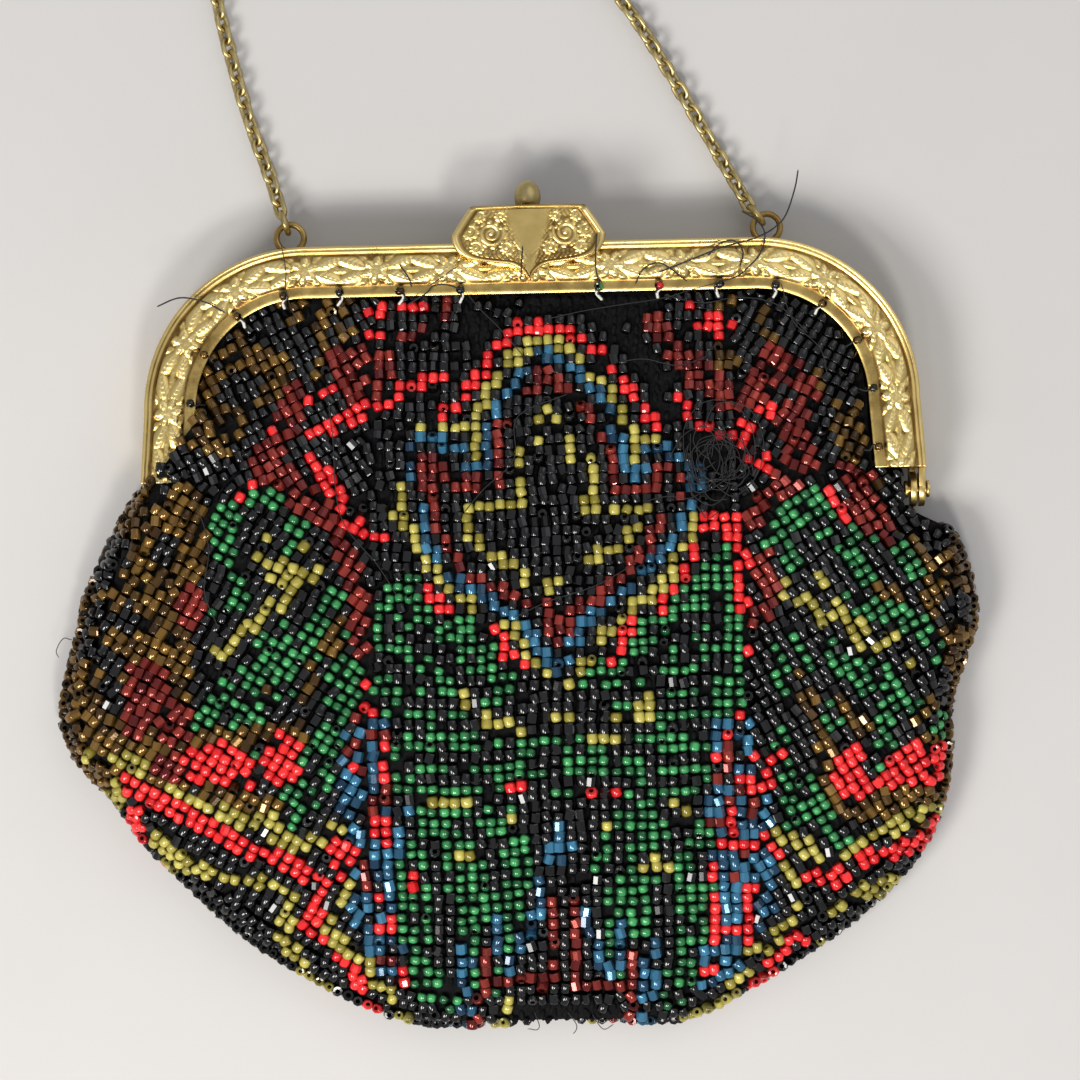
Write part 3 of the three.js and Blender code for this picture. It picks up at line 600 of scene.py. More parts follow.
def curl(x, y, at, radius, start, way):
    """A coiled tendril about a point that closes in over two turns, with leafy lobes outside it."""
    away = np.hypot(x - at[0], y - at[1])
    share = np.mod(way * np.arctan2(y - at[1], x - at[0]) - start, 2 * math.pi) / (2 * math.pi)
    found = np.exp(-(away / 0.26) ** 2)
    for turn, high in ((0, 1.0), (1, 0.55)):
        line = radius * (1 - 0.42 * (share + turn))
        found = np.maximum(found, high * np.exp(-((away - line) / 0.17) ** 2))
    lobes = np.clip(1 - np.abs(away - radius * (1.24 - 0.42 * share)) / 0.36, 0, 1)
    return np.maximum(found, lobes * (0.45 + 0.45 * np.cos(20 * math.pi * share)))


def plate_height(x, y):
    """Scrolls and leaves on the plate's face, the same on both sides of a plain shield over a palmette."""
    across = np.abs(x)
    upright = np.sin(4.6 * across + 1.8 * np.sin(2.4 * y))
    level = np.sin(4.3 * y + 1.7 * np.sin(3.1 * across))
    height = 0.4 * np.abs(upright * level)
    for at, radius, start, way in PLATE_CURLS:
        near = np.hypot(across - at[0], y - at[1]) < 1.3 * radius
        height = np.where(near, curl(across, y, at, radius, start, way), height)
    for slant, length, middle in ((0.0, 2.6, 62.9), (0.55, 2.6, 63.9), (0.8, 3.4, 65.6)):
        dx, dy = across - math.sin(slant) * 1.5, y - middle
        forward = math.sin(slant) * dx + math.cos(slant) * dy
        sideways = math.cos(slant) * dx - math.sin(slant) * dy
        height = np.maximum(height, 1.1 * leaf_height(forward, sideways, length, 1.1))
    shield = 2.5 * np.clip((y - 64.4) / 5.4, 0, 1) ** 0.8
    worn = np.clip((across - shield) / 1.1, 0, 1)
    return 0.17 * height * worn + 0.09 * (1 - worn)


outline = plate_outline()
shares = np.concatenate([np.linspace(0.0, FACE_SHARE, PLATE_RINGS), PLATE_EDGE[:, 0]])
levels = np.concatenate([np.full(PLATE_RINGS, PLATE_FACE), PLATE_EDGE[:, 1]])
shine = np.concatenate([np.zeros(PLATE_RINGS), PLATE_EDGE[:, 2]])
centre = np.array(PLATE_CENTRE)
flat = centre + (outline[None] - centre) * shares[:, None, None]
heights = np.repeat(levels[:, None], len(outline), axis=1)
tones = np.repeat(shine[:, None], len(outline), axis=1)
carved = plate_height(flat[:PLATE_RINGS, :, 0], flat[:PLATE_RINGS, :, 1])
carved = carved * np.clip((FACE_SHARE - shares[:PLATE_RINGS]) / FACE_FADE, 0, 1)[:, None]
heights[:PLATE_RINGS] += carved - FACE_SINK
# Painted shade: the face's tone follows the carving, dark in its hollows and light on its raised parts
tones[:PLATE_RINGS] = np.clip(0.12 + 3.6 * carved, 0, 1)
# The brim is turned down along the plate's upper edge, and painted shade darkens it there
crest = np.clip((outline[:, 1] - CREST_Y) / CREST_BLEND, 0, 1)
brim = np.clip((shares - BRIM_SHARE) / BRIM_BLEND, 0, 1)
turned_down = crest[None] * brim[:, None]
turned_down[PLATE_RINGS + BRIM_ROWS:] = 0
heights -= CREST_DROP * turned_down
tones *= 1 - CREST_SHADE * turned_down
points = np.concatenate([flat, heights[..., None]], axis=-1).reshape(-1, 3)
plate = mesh_from_quads("clasp_plate_stamped", points * MM, ring_quads(len(shares), len(outline)))
set_attribute(plate, "relief", tones.ravel())
seal(plate, SEAL_REACH)
plate.data.materials.append(GILT_LOOK)
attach(plate, "bag")
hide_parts("clasp_plate")


# The push knob: a turned brass egg on a collar and a stem that runs through the lip of the front half.
# It is duller than the gilt frame, with a dark seat where it meets the collar.
KNOB_Z = 8.1
KNOB_STEPS = 40
KNOB_SHARP_EDGE = math.radians(50)
# From the end of the stem to the tip of the egg: radius and Y
KNOB_PROFILE = [
    (0, 63.0), (1.3, 63.0), (1.4, 63.15), (1.4, 64.05), (1.3, 64.2), (0.9, 64.2), (0.9, 68.4),
     (1.5, 68.4),
    (1.6, 68.5), (1.6, 71.9), (1.5, 72.1), (1.45, 72.4), (1.8, 72.5), (1.98, 72.9), (2.1, 73.5),
    (2.12, 74.05), (2.02, 74.8), (1.77, 75.45), (1.35, 76.0), (0.9, 76.34), (0.42, 76.54), (0, 76.6),
]
BRASS_DULL = (0.42, 0.33, 0.14)
BRASS_BROWN = (0.10, 0.07, 0.03)
BRASS_RUBBED = (0.66, 0.54, 0.26)


def old_brass(name, dark, scale):
    """Plain brass gone dull, browner in cloudy patches and rubbed paler in others."""
    material, tree, surface = shader(name, 1.0, 0.34)
    cloud = pattern(tree, "ShaderNodeTexNoise", {"Scale": scale, "Detail": 6.0, "Roughness": 0.7})
    stops = [(dark, BRASS_BROWN), (dark + 0.22, BRASS_DULL), (0.85, BRASS_RUBBED)]
    tree.links.new(ramp(tree, cloud.outputs["Fac"], stops), surface.inputs["Base Color"])
    gloss = add_node(tree, "ShaderNodeMapRange", {"To Min": 0.22, "To Max": 0.5})
    tree.links.new(cloud.outputs["Fac"], gloss.inputs["Value"])
    tree.links.new(gloss.outputs["Result"], surface.inputs["Roughness"])
    bump(tree, surface, cloud.outputs["Fac"], 0.15, 0.0002)
    return material


knob_look = old_brass("knob_brass", 0.2, 220.0)
turn = np.linspace(0, 2 * math.pi, KNOB_STEPS, endpoint=False)
points = [[(r * math.cos(a), y, KNOB_Z - r * math.sin(a)) for a in turn] for r, y in KNOB_PROFILE]
points = np.array(points).reshape(-1, 3)
knob = mesh_from_quads("clasp_knob_turned", points * MM, ring_quads(len(KNOB_PROFILE), KNOB_STEPS))
seal(knob, SEAL_REACH)
bpy.ops.object.shade_smooth_by_angle(angle=KNOB_SHARP_EDGE)
knob.data.materials.append(knob_look)
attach(knob, "clasp_knob")
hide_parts("clasp_knob")


# The end rings and the carrying chain: heavier rings of brass wire through the frame's eyes, and between
# them a fine chain of oval links, each lying half on its side, spread over the table.
RING_RADIUS = 1.7
RING_WIRE = 0.5
RING_REACH = 2.6
LEFT_PULL = (-0.3, 0.954)
RIGHT_PULL = (-0.6, 0.8)
LINK_LENGTH = 3.75
LINK_WIDTH = 2.75
LINK_WIRE = 0.42
LINK_SLACK = 0.06
LINK_PITCH = LINK_LENGTH - 4 * LINK_WIRE + LINK_SLACK
LINK_STEPS = 18
LINK_SIDES = 7
LINK_FLOOR_Z = 1.3
LINK_ROLL = math.radians(44)
ROLL_SPREAD = 0.10
FIRST_LINK = 5.0
CHAIN_ROUTE = [
    (-41.6, 79.2), (-44.6, 88.0), (-47.2, 97.8), (-49.2, 107.0), (-50.3, 117.0), (-50.9, 128.0),
    (-51.0, 140.0), (-50.6, 152.0), (-48.9, 161.0), (-44.6, 168.6), (-37.4, 172.4), (-29.4, 169.6),
    (-22.8, 162.2), (-16.4, 153.0), (-9.6, 143.0), (-2.6, 132.5), (4.4, 122.2), (11.4, 112.2),
    (18.6, 102.0), (24.8, 91.5), (30.4, 81.6),
]
chain_look = old_brass("chain_brass", 0.2, 420.0)

for side, word, pull in ((-1, "left", LEFT_PULL), (1, "right", RIGHT_PULL)):
    place = (side * EYE_X + RING_REACH * pull[0], EYE_Y + RING_REACH * pull[1], EYE_Z)
    ring = wire_ring(RING_RADIUS, RING_WIRE, place, (math.pi / 2, 0, math.atan2(pull[1], pull[0])))
    ring.name = f"end_ring_{word}_wire"
    ring.data.materials.append(chain_look)
    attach(ring, "bag")
    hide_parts(f"end_ring_{word}")


def smooth_path(stops, step):
    """Evenly spaced points on a smooth curve through the stops."""
    stops = np.array(stops, float)
    ends = np.concatenate([[2 * stops[0] - stops[1]], stops, [2 * stops[-1] - stops[-2]]])
    fine = []
    t = np.linspace(0, 1, 40, endpoint=False)[:, None]
    for i in range(1, len(ends) - 2):
        a, b, c, d = ends[i - 1:i + 3]
        square = (2 * a - 5 * b + 4 * c - d) * t ** 2
        cube = (3 * b - a - 3 * c + d) * t ** 3
        fine.append(0.5 * (2 * b + (c - a) * t + square + cube))
    fine = np.concatenate(fine + [stops[-1:]])
    length = np.concatenate([[0], np.cumsum(np.linalg.norm(np.diff(fine, axis=0), axis=1))])
    count = max(2, int(round(length[-1] / step)) + 1)
    at = np.linspace(0, length[-1], count)
    return np.stack([np.interp(at, length, fine[:, k]) for k in range(3)], axis=1)


def link_points():
    """One oval link of round wire about the origin, its length along X and its width along Y."""
    around = np.linspace(0, 2 * math.pi, LINK_STEPS, endpoint=False)
    round_wire = np.linspace(0, 2 * math.pi, LINK_SIDES, endpoint=False)
    bend = (LINK_WIDTH / 2) - LINK_WIRE
    straight = LINK_LENGTH / 2 - LINK_WIRE - bend
    middle_x = np.sign(np.cos(around)) * straight + bend * np.cos(around)
    middle = np.stack([middle_x, bend * np.sin(around)], axis=1)
    outward = np.stack([np.cos(around), np.sin(around)], axis=1)
    points = np.zeros((len(around), len(round_wire), 3))
    points[..., :2] = middle[:, None] + LINK_WIRE * np.cos(round_wire)[None, :, None] * outward[:, None]
    points[..., 2] = LINK_WIRE * np.sin(round_wire)[None, :]
    return points.reshape(-1, 3), ring_quads(len(around), len(round_wire), closed_rows=True)


chance = np.random.default_rng(7)
stops = [(-EYE_X + FIRST_LINK * LEFT_PULL[0], EYE_Y + FIRST_LINK * LEFT_PULL[1], EYE_Z)]
stops += [(x, y, LINK_FLOOR_Z) for x, y in CHAIN_ROUTE]
stops += [(EYE_X + FIRST_LINK * RIGHT_PULL[0], EYE_Y + FIRST_LINK * RIGHT_PULL[1], EYE_Z)]
centres = smooth_path(stops, LINK_PITCH)
centres[:, 2] = np.maximum(centres[:, 2], LINK_FLOOR_Z)
tangents = np.gradient(centres, axis=0)
tangents /= np.linalg.norm(tangents, axis=1)[:, None]
shape, shape_quads = link_points()
link_meshes = []
link_faces = []
for index, (centre, ahead) in enumerate(zip(centres, tangents)):
    sideways = np.cross((0, 0, 1), ahead)
    sideways /= np.linalg.norm(sideways)
    upward = np.cross(ahead, sideways)
    roll = (LINK_ROLL if index % 2 else -LINK_ROLL) + chance.normal(0, ROLL_SPREAD)
    width_way = math.cos(roll) * sideways + math.sin(roll) * upward
    face_way = np.cross(ahead, width_way)
    placed = shape @ np.stack([ahead, width_way, face_way]) + centre
    link_faces.append(shape_quads + index * len(shape))
    link_meshes.append(placed)
chain = mesh_from_quads("chain_links", np.concatenate(link_meshes) * MM, np.concatenate(link_faces))
chain.data.materials.append(chain_look)
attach(chain, "bag")
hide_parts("chain")


# The pouch: black knitted cloth in a front and a back that join at the sides and the foot. Its upper edges
# are sewn under the flanges of the frame, so the mouth is open between the two halves from hinge to hinge.
MAP_STEP = 0.5
MAP_LEFT, MAP_RIGHT = -80.0, 74.0
MAP_FOOT, MAP_TOP = -62.0, 62.0
RAY_REACH = 60.0
FACET_PASSES = 7
BESIDE_FRONT_Z = 4.0
BESIDE_BACK_Z = 3.0
EDGE_EASING = 9
CLOTH_SINK = 1.3
CLOTH_THICK = 0.5
CLOTH_ROWS = 92
CLOTH_COLUMNS = 86
CLOTH_TOP_TRIM = 0.6
CLOTH_FOOT_TRIM = 1.3
CROWDING = 1.7
STEEPEST = 1.7
LEAST_HOLLOW = 0.6
HINGE_REACH = 3.5
SEAM_TOP_LEFT = 20.0
SEAM_TOP_RIGHT = 22.0

pouch_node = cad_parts["pouch"]
to_mm = np.array(pouch_node.matrix_world) * 1000
corners = np.array([vertex.co[:] for vertex in pouch_node.data.vertices])
corners = corners @ to_mm[:3, :3].T + to_mm[:3, 3]
hull = BVHTree.FromPolygons(corners.tolist(), [tuple(face.vertices) for face in pouch_node.data.polygons])
map_x = np.arange(MAP_LEFT, MAP_RIGHT, MAP_STEP)
map_y = np.arange(MAP_FOOT, MAP_TOP, MAP_STEP)


def surface_map(from_z, way):
    """Heights of the pouch met from above or from below on an even grid, with gaps beside it."""
    heights = np.full((len(map_y), len(map_x)), np.nan)
    for row, y in enumerate(map_y):
        for column, x in enumerate(map_x):
            hit = hull.ray_cast((x, y, from_z), (0, 0, way))[0]
            if hit is not None:
                heights[row, column] = hit[2]
    return heights


def blurred(field, passes):
    """The field with its gaps filled from beside them and its facets smoothed."""
    for _ in range(passes):
        rows, columns = field.shape
        padded = np.pad(field, 1, mode="edge")
        near = np.stack([padded[a:a + rows, b:b + columns] for a in (0, 1, 2) for b in (0, 1, 2)])
        known = ~np.isnan(near)
        count = known.sum(axis=0)
        total = np.where(known, near, 0).sum(axis=0)
        field = np.where(count > 0, total / np.maximum(count, 1), np.nan)
    return field


def sample(field, x, y):
    """The field between its grid points, at places in millimetres."""
    gx = np.clip((x - MAP_LEFT) / MAP_STEP, 0, len(map_x) - 1.001)
    gy = np.clip((y - MAP_FOOT) / MAP_STEP, 0, len(map_y) - 1.001)
    ix, iy = gx.astype(int), gy.astype(int)
    fx, fy = gx - ix, gy - iy
    low = field[iy, ix] * (1 - fx) + field[iy, ix + 1] * fx
    high = field[iy + 1, ix] * (1 - fx) + field[iy + 1, ix + 1] * fx
    return low * (1 - fy) + high * fy


front_raw = surface_map(RAY_REACH, -1)
back_raw = surface_map(-RAY_REACH, 1)
front_map = np.nan_to_num(blurred(front_raw, FACET_PASSES), nan=BESIDE_FRONT_Z)
back_map = np.nan_to_num(blurred(back_raw, FACET_PASSES), nan=BESIDE_BACK_Z)
back_slope = np.gradient(back_map, MAP_STEP)
present = ~np.isnan(front_raw)
filled_rows = np.where(present.any(axis=1))[0]
row_y = map_y[filled_rows]
row_left = np.array([map_x[present[row]].min() for row in filled_rows]) - MAP_STEP / 2
row_right = np.array([map_x[present[row]].max() for row in filled_rows]) + MAP_STEP / 2


def eased(values, width):
    kernel = np.hanning(width + 2)[1:-1]
    stretched = np.pad(values, width // 2, mode="edge")
    return np.convolve(stretched, kernel / kernel.sum(), mode="valid")


row_left = eased(row_left, EDGE_EASING)
row_right = eased(row_right, EDGE_EASING)
# On the left the cloth has slumped over the hinge and the foot of the frame's leg, and hides them: its edge
# as (y, x), the area and the ridge along it. On the right it bulges a little into the gap by the hinge.
SLUMP_EDGE = [
    (9.0, -73.6), (11.3, -73.1), (17.6, -69.8), (22.0, -67.6), (25.5, -65.8), (29.0, -63.2),
     (30.5, -61.2),
    (33.0, -59.4), (36.0, -57.3), (40.1, -53.9),
]
SLUMP_AREA = [
    (-52.8, 41.4), (-57.7, 36.4), (-60.2, 33.2), (-62.0, 31.2), (-65.0, 29.5), (-68, 25.5), (-72, 16),
    (-66, 9), (-54, 14), (-48, 28), (-49, 38),
]
SLUMP_RIDGE = [(-54, 37.5), (-60.5, 30), (-62, 25)]
SLUMP_HEIGHT = 13.1
SLUMP_FALL = 0.03
SLUMP_ROUNDING = 2.3
EDGE_OVER_LEG = 12.4
EDGE_BELOW_LEG = 5.6
ON_LEG_Y = 29.6
HINGE_GAP = [(22.2, 62.6), (22.8, 59.4), (29.4, 59.2), (30.0, 55.4)]
GAP_X = (55, 60.5)
GAP_Y = (22.5, 29.6)
GAP_HEIGHT = 8.9
GAP_FALL = 0.12
GAP_FALL_FROM = 57
DRAPED_Y = 28.0
FREE_LEFT_X = -53
FREE_LEFT_Y = 30.5


def inside(x, y, stops):
    """Which places lie inside a polygon."""
    result = np.zeros(x.shape, bool)
    stops = [np.array(stop, float) for stop in stops]
    for (ax, ay), (bx, by) in zip(stops, stops[1:] + stops[:1]):
        crosses = (ay > y) != (by > y)
        at = ax + (y - ay) * (bx - ax) / (by - ay if by != ay else 1e-9)
        result ^= crosses & (x < at)
    return result


def line_distance(x, y, stops):
    """Distance from a broken line."""
    found = np.full(x.shape, 1e9)
    for (ax, ay), (bx, by) in zip(stops, stops[1:]):
        run = (bx - ax) ** 2 + (by - ay) ** 2
        share = np.clip(((x - ax) * (bx - ax) + (y - ay) * (by - ay)) / max(run, 1e-9), 0, 1)
        found = np.minimum(found, np.hypot(x - ax - share * (bx - ax), y - ay - share * (by - ay)))
    return found


def within_span(stops, edge, pick):
    """The edge moved out to a line of (y, x) stops, over the height that the line covers."""
    heights, places = np.array(stops).T
    moved = pick(edge, np.interp(row_y, heights, places))
    return np.where((row_y >= heights.min()) & (row_y <= heights.max()), moved, edge)


front_left = within_span(SLUMP_EDGE, row_left, np.minimum)
front_right = within_span(HINGE_GAP, row_right, np.maximum)
grid_x, grid_y = np.meshgrid(map_x, map_y)
slumped = SLUMP_HEIGHT - SLUMP_FALL * line_distance(grid_x, grid_y, SLUMP_RIDGE) ** 2
in_from_edge = np.maximum(grid_x - np.interp(grid_y, row_y, front_left), 0)
edge_level = np.where(grid_y > ON_LEG_Y, EDGE_OVER_LEG, EDGE_BELOW_LEG)
rounded_off = (SLUMP_HEIGHT - edge_level) * (1 - np.exp(-in_from_edge / SLUMP_ROUNDING))
slumped = np.minimum(slumped, edge_level + rounded_off)
slump_cells = inside(grid_x, grid_y, SLUMP_AREA)
front_map = np.where(slump_cells, np.maximum(front_map, slumped), front_map)
gap_cells = (grid_x > GAP_X[0]) & (grid_x < GAP_X[1]) & (grid_y > GAP_Y[0]) & (grid_y < GAP_Y[1])
gap_level = GAP_HEIGHT - GAP_FALL * np.maximum(grid_x - GAP_FALL_FROM, 0) ** 2
front_map = np.where(gap_cells, np.maximum(front_map, gap_level), front_map)
front_slope = np.gradient(front_map, MAP_STEP)

shape_y = np.linspace(row_y.max() - CLOTH_TOP_TRIM, row_y.min() + CLOTH_FOOT_TRIM, CLOTH_ROWS)
even = np.linspace(-1, 1, CLOTH_COLUMNS)
across = np.sign(even) * (1 - (1 - np.abs(even)) ** CROWDING)


def cloth_places(left, right):
    """Places on the cloth, closer together towards its edges and nearer to them beside the hinges."""
    sink = CLOTH_SINK * np.where(np.abs(shape_y - HINGE_Y) < HINGE_REACH, 0.5, 1)
    left_edge = np.interp(shape_y, row_y, left) + sink
    right_edge = np.interp(shape_y, row_y, right) - sink
    x = (left_edge + right_edge)[:, None] / 2 + (right_edge - left_edge)[:, None] / 2 * across[None, :]
    return x, np.repeat(shape_y[:, None], CLOTH_COLUMNS, axis=1)


front_x, cloth_y = cloth_places(front_left, front_right)
back_x, cloth_y = cloth_places(row_left, row_right)
rise_up, rise_across = (sample(slope, front_x, cloth_y) for slope in front_slope)
steep = np.sqrt(1 + rise_up ** 2 + rise_across ** 2)
front_z = sample(front_map, front_x, cloth_y) - CLOTH_SINK * np.minimum(steep, STEEPEST)
back_z = sample(back_map, back_x, cloth_y) + CLOTH_SINK
front_z = np.maximum(front_z, sample(back_map, front_x, cloth_y) + CLOTH_SINK + LEAST_HOLLOW)
front_points = np.stack([front_x, cloth_y, front_z], axis=-1).reshape(-1, 3)
back_points = np.stack([back_x, cloth_y, back_z], axis=-1).reshape(-1, 3)
grid = ring_quads(CLOTH_ROWS, CLOTH_COLUMNS, closed_columns=False)
# Over the leg the slumped cloth lies free: it has no faces down to the cloth inside the frame
over_leg = inside(front_x, cloth_y, SLUMP_AREA).ravel() & (cloth_y.ravel() > DRAPED_Y)
corners_over = over_leg[grid].sum(axis=1)
far_left = (front_x.ravel()[grid] < FREE_LEFT_X).all(axis=1)
far_left &= (cloth_y.ravel()[grid] > FREE_LEFT_Y).any(axis=1)
front_grid = grid[~(far_left & (corners_over > 0) & (corners_over < 4))]
layer = CLOTH_ROWS * CLOTH_COLUMNS
quads = [front_grid, grid[:, ::-1] + layer]
for column, top in ((0, SEAM_TOP_LEFT), (CLOTH_COLUMNS - 1, SEAM_TOP_RIGHT)):
    sewn = np.where(shape_y[:-1] < top)[0] * CLOTH_COLUMNS + column
    side = np.stack([sewn, layer + sewn, layer + sewn + CLOTH_COLUMNS, sewn + CLOTH_COLUMNS], axis=1)
    quads.append(side if column == 0 else side[:, ::-1])
foot = (CLOTH_ROWS - 1) * CLOTH_COLUMNS + np.arange(CLOTH_COLUMNS - 1)
quads.append(np.stack([foot, layer + foot, layer + foot + 1, foot + 1], axis=1))
points = np.concatenate([front_points, back_points])
cloth = mesh_from_quads("pouch_cloth", points * MM, np.concatenate(quads))
thick = cloth.modifiers.new("thick", "SOLIDIFY")
thick.thickness = CLOTH_THICK * MM
thick.offset = -1
select_only(cloth)
bpy.ops.object.modifier_apply(modifier="thick")

cloth_look, tree, surface = shader("black_knit", 0.0, 0.85)
surface.inputs["Specular IOR Level"].default_value = 0.12
fuzz = pattern(tree, "ShaderNodeTexNoise", {"Scale": 1500.0, "Detail": 5.0, "Roughness": 0.65})
stitch = pattern(tree, "ShaderNodeTexVoronoi", {"Scale": 620.0, "Randomness": 0.45})
black = [(0.3, (0.0012, 0.0012, 0.0015)), (0.75, (0.0075, 0.0075, 0.0078))]
tree.links.new(ramp(tree, fuzz.outputs["Fac"], black), surface.inputs["Base Color"])
knit = add_node(tree, "ShaderNodeMath", operation="ADD")
tree.links.new(stitch.outputs["Distance"], knit.inputs[0])
tree.links.new(fuzz.outputs["Fac"], knit.inputs[1])
bump(tree, surface, knit.outputs[0], 0.7, 0.0004)
cloth.data.materials.append(cloth_look)
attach(cloth, "bag")
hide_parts("pouch")


# The seed beads: about eight thousand short pieces of glass cane in seven colours, one knitted into each
# stitch, so they lie in rows with their holes along the rows. Some are turned and some are lost.
BEAD_PITCH = 1.65
ROW_PITCH = 1.74
BEAD_RADIUS = 0.82
NEAREST_BEAD = 1.34
KEPT_SHARE = 0.985
EDGE_ROWS = 5
EDGE_STEP = 0.15
EDGE_DEPTH = 11
EDGE_ALONG_JITTER = 0.9
EDGE_ROW_JITTER = 0.14
EDGE_TWIST = 0.3
SLOPE_REACH = 0.3
PANEL_COUNT = 100
SEAT_JITTER = 0.13
SIDE_SIZE = 1.02
EDGE_MIDDLE_Z = 3.7
EDGE_TOP_LEFT = 31.0
EDGE_TOP_RIGHT = 21.5
OUTLINE_STEP = 0.25
OUTLINE_EASING = 33
CHART_TURN = 0.0227
SHADES = ("jet", "topaz", "green", "red", "garnet", "yellow", "blue")
bead_chance = np.random.default_rng(41)


def outline_below_hinges():
    """The pouch's edge seen from above, from the left hinge round the foot to the right one."""
    left_y = np.arange(EDGE_TOP_LEFT, row_y.min(), -OUTLINE_STEP)
    right_y = np.arange(row_y.min(), EDGE_TOP_RIGHT, OUTLINE_STEP)
    left = np.stack([np.interp(left_y, row_y, front_left), left_y], axis=1)
    right = np.stack([np.interp(right_y, row_y, front_right), right_y], axis=1)
    run = np.concatenate([left, right])
    length = np.concatenate([[0], np.cumsum(np.linalg.norm(np.diff(run, axis=0), axis=1))])
    at = np.arange(0, length[-1], OUTLINE_STEP)
    run = np.stack([np.interp(at, length, run[:, k]) for k in (0, 1)], axis=1)
    run = np.stack([eased(run[:, k], OUTLINE_EASING) for k in (0, 1)], axis=1)
    ahead = np.gradient(run, axis=0)
    ahead /= np.linalg.norm(ahead, axis=1)[:, None]
    outward = np.stack([ahead[:, 1], -ahead[:, 0]], axis=1)
    return run, ahead, outward


edge_run, edge_ahead, edge_outward = outline_below_hinges()


def edge_distance(x, y):
    """Distance in from that edge."""
    found = np.full(x.shape, 1e9)
    for stop in edge_run[::3]:
        found = np.minimum(found, (x - stop[0]) ** 2 + (y - stop[1]) ** 2)
    return np.sqrt(found)


def arch_inset(x, y):
    """Distance in from the outer edge of the frame's arch."""
    past_top, past_leg = np.maximum(np.abs(x) - TOP_HALF, 0), np.maximum(y - CORNER_Y, 0)
    over_corner = CORNER_RADIUS - np.hypot(past_top, past_leg)
    beside_leg = TOP_HALF + CORNER_RADIUS - np.abs(x)
    under_top = ARCH_TOP - y
    return np.where(np.abs(x) < TOP_HALF, under_top, np.where(y > CORNER_Y, over_corner, beside_leg))


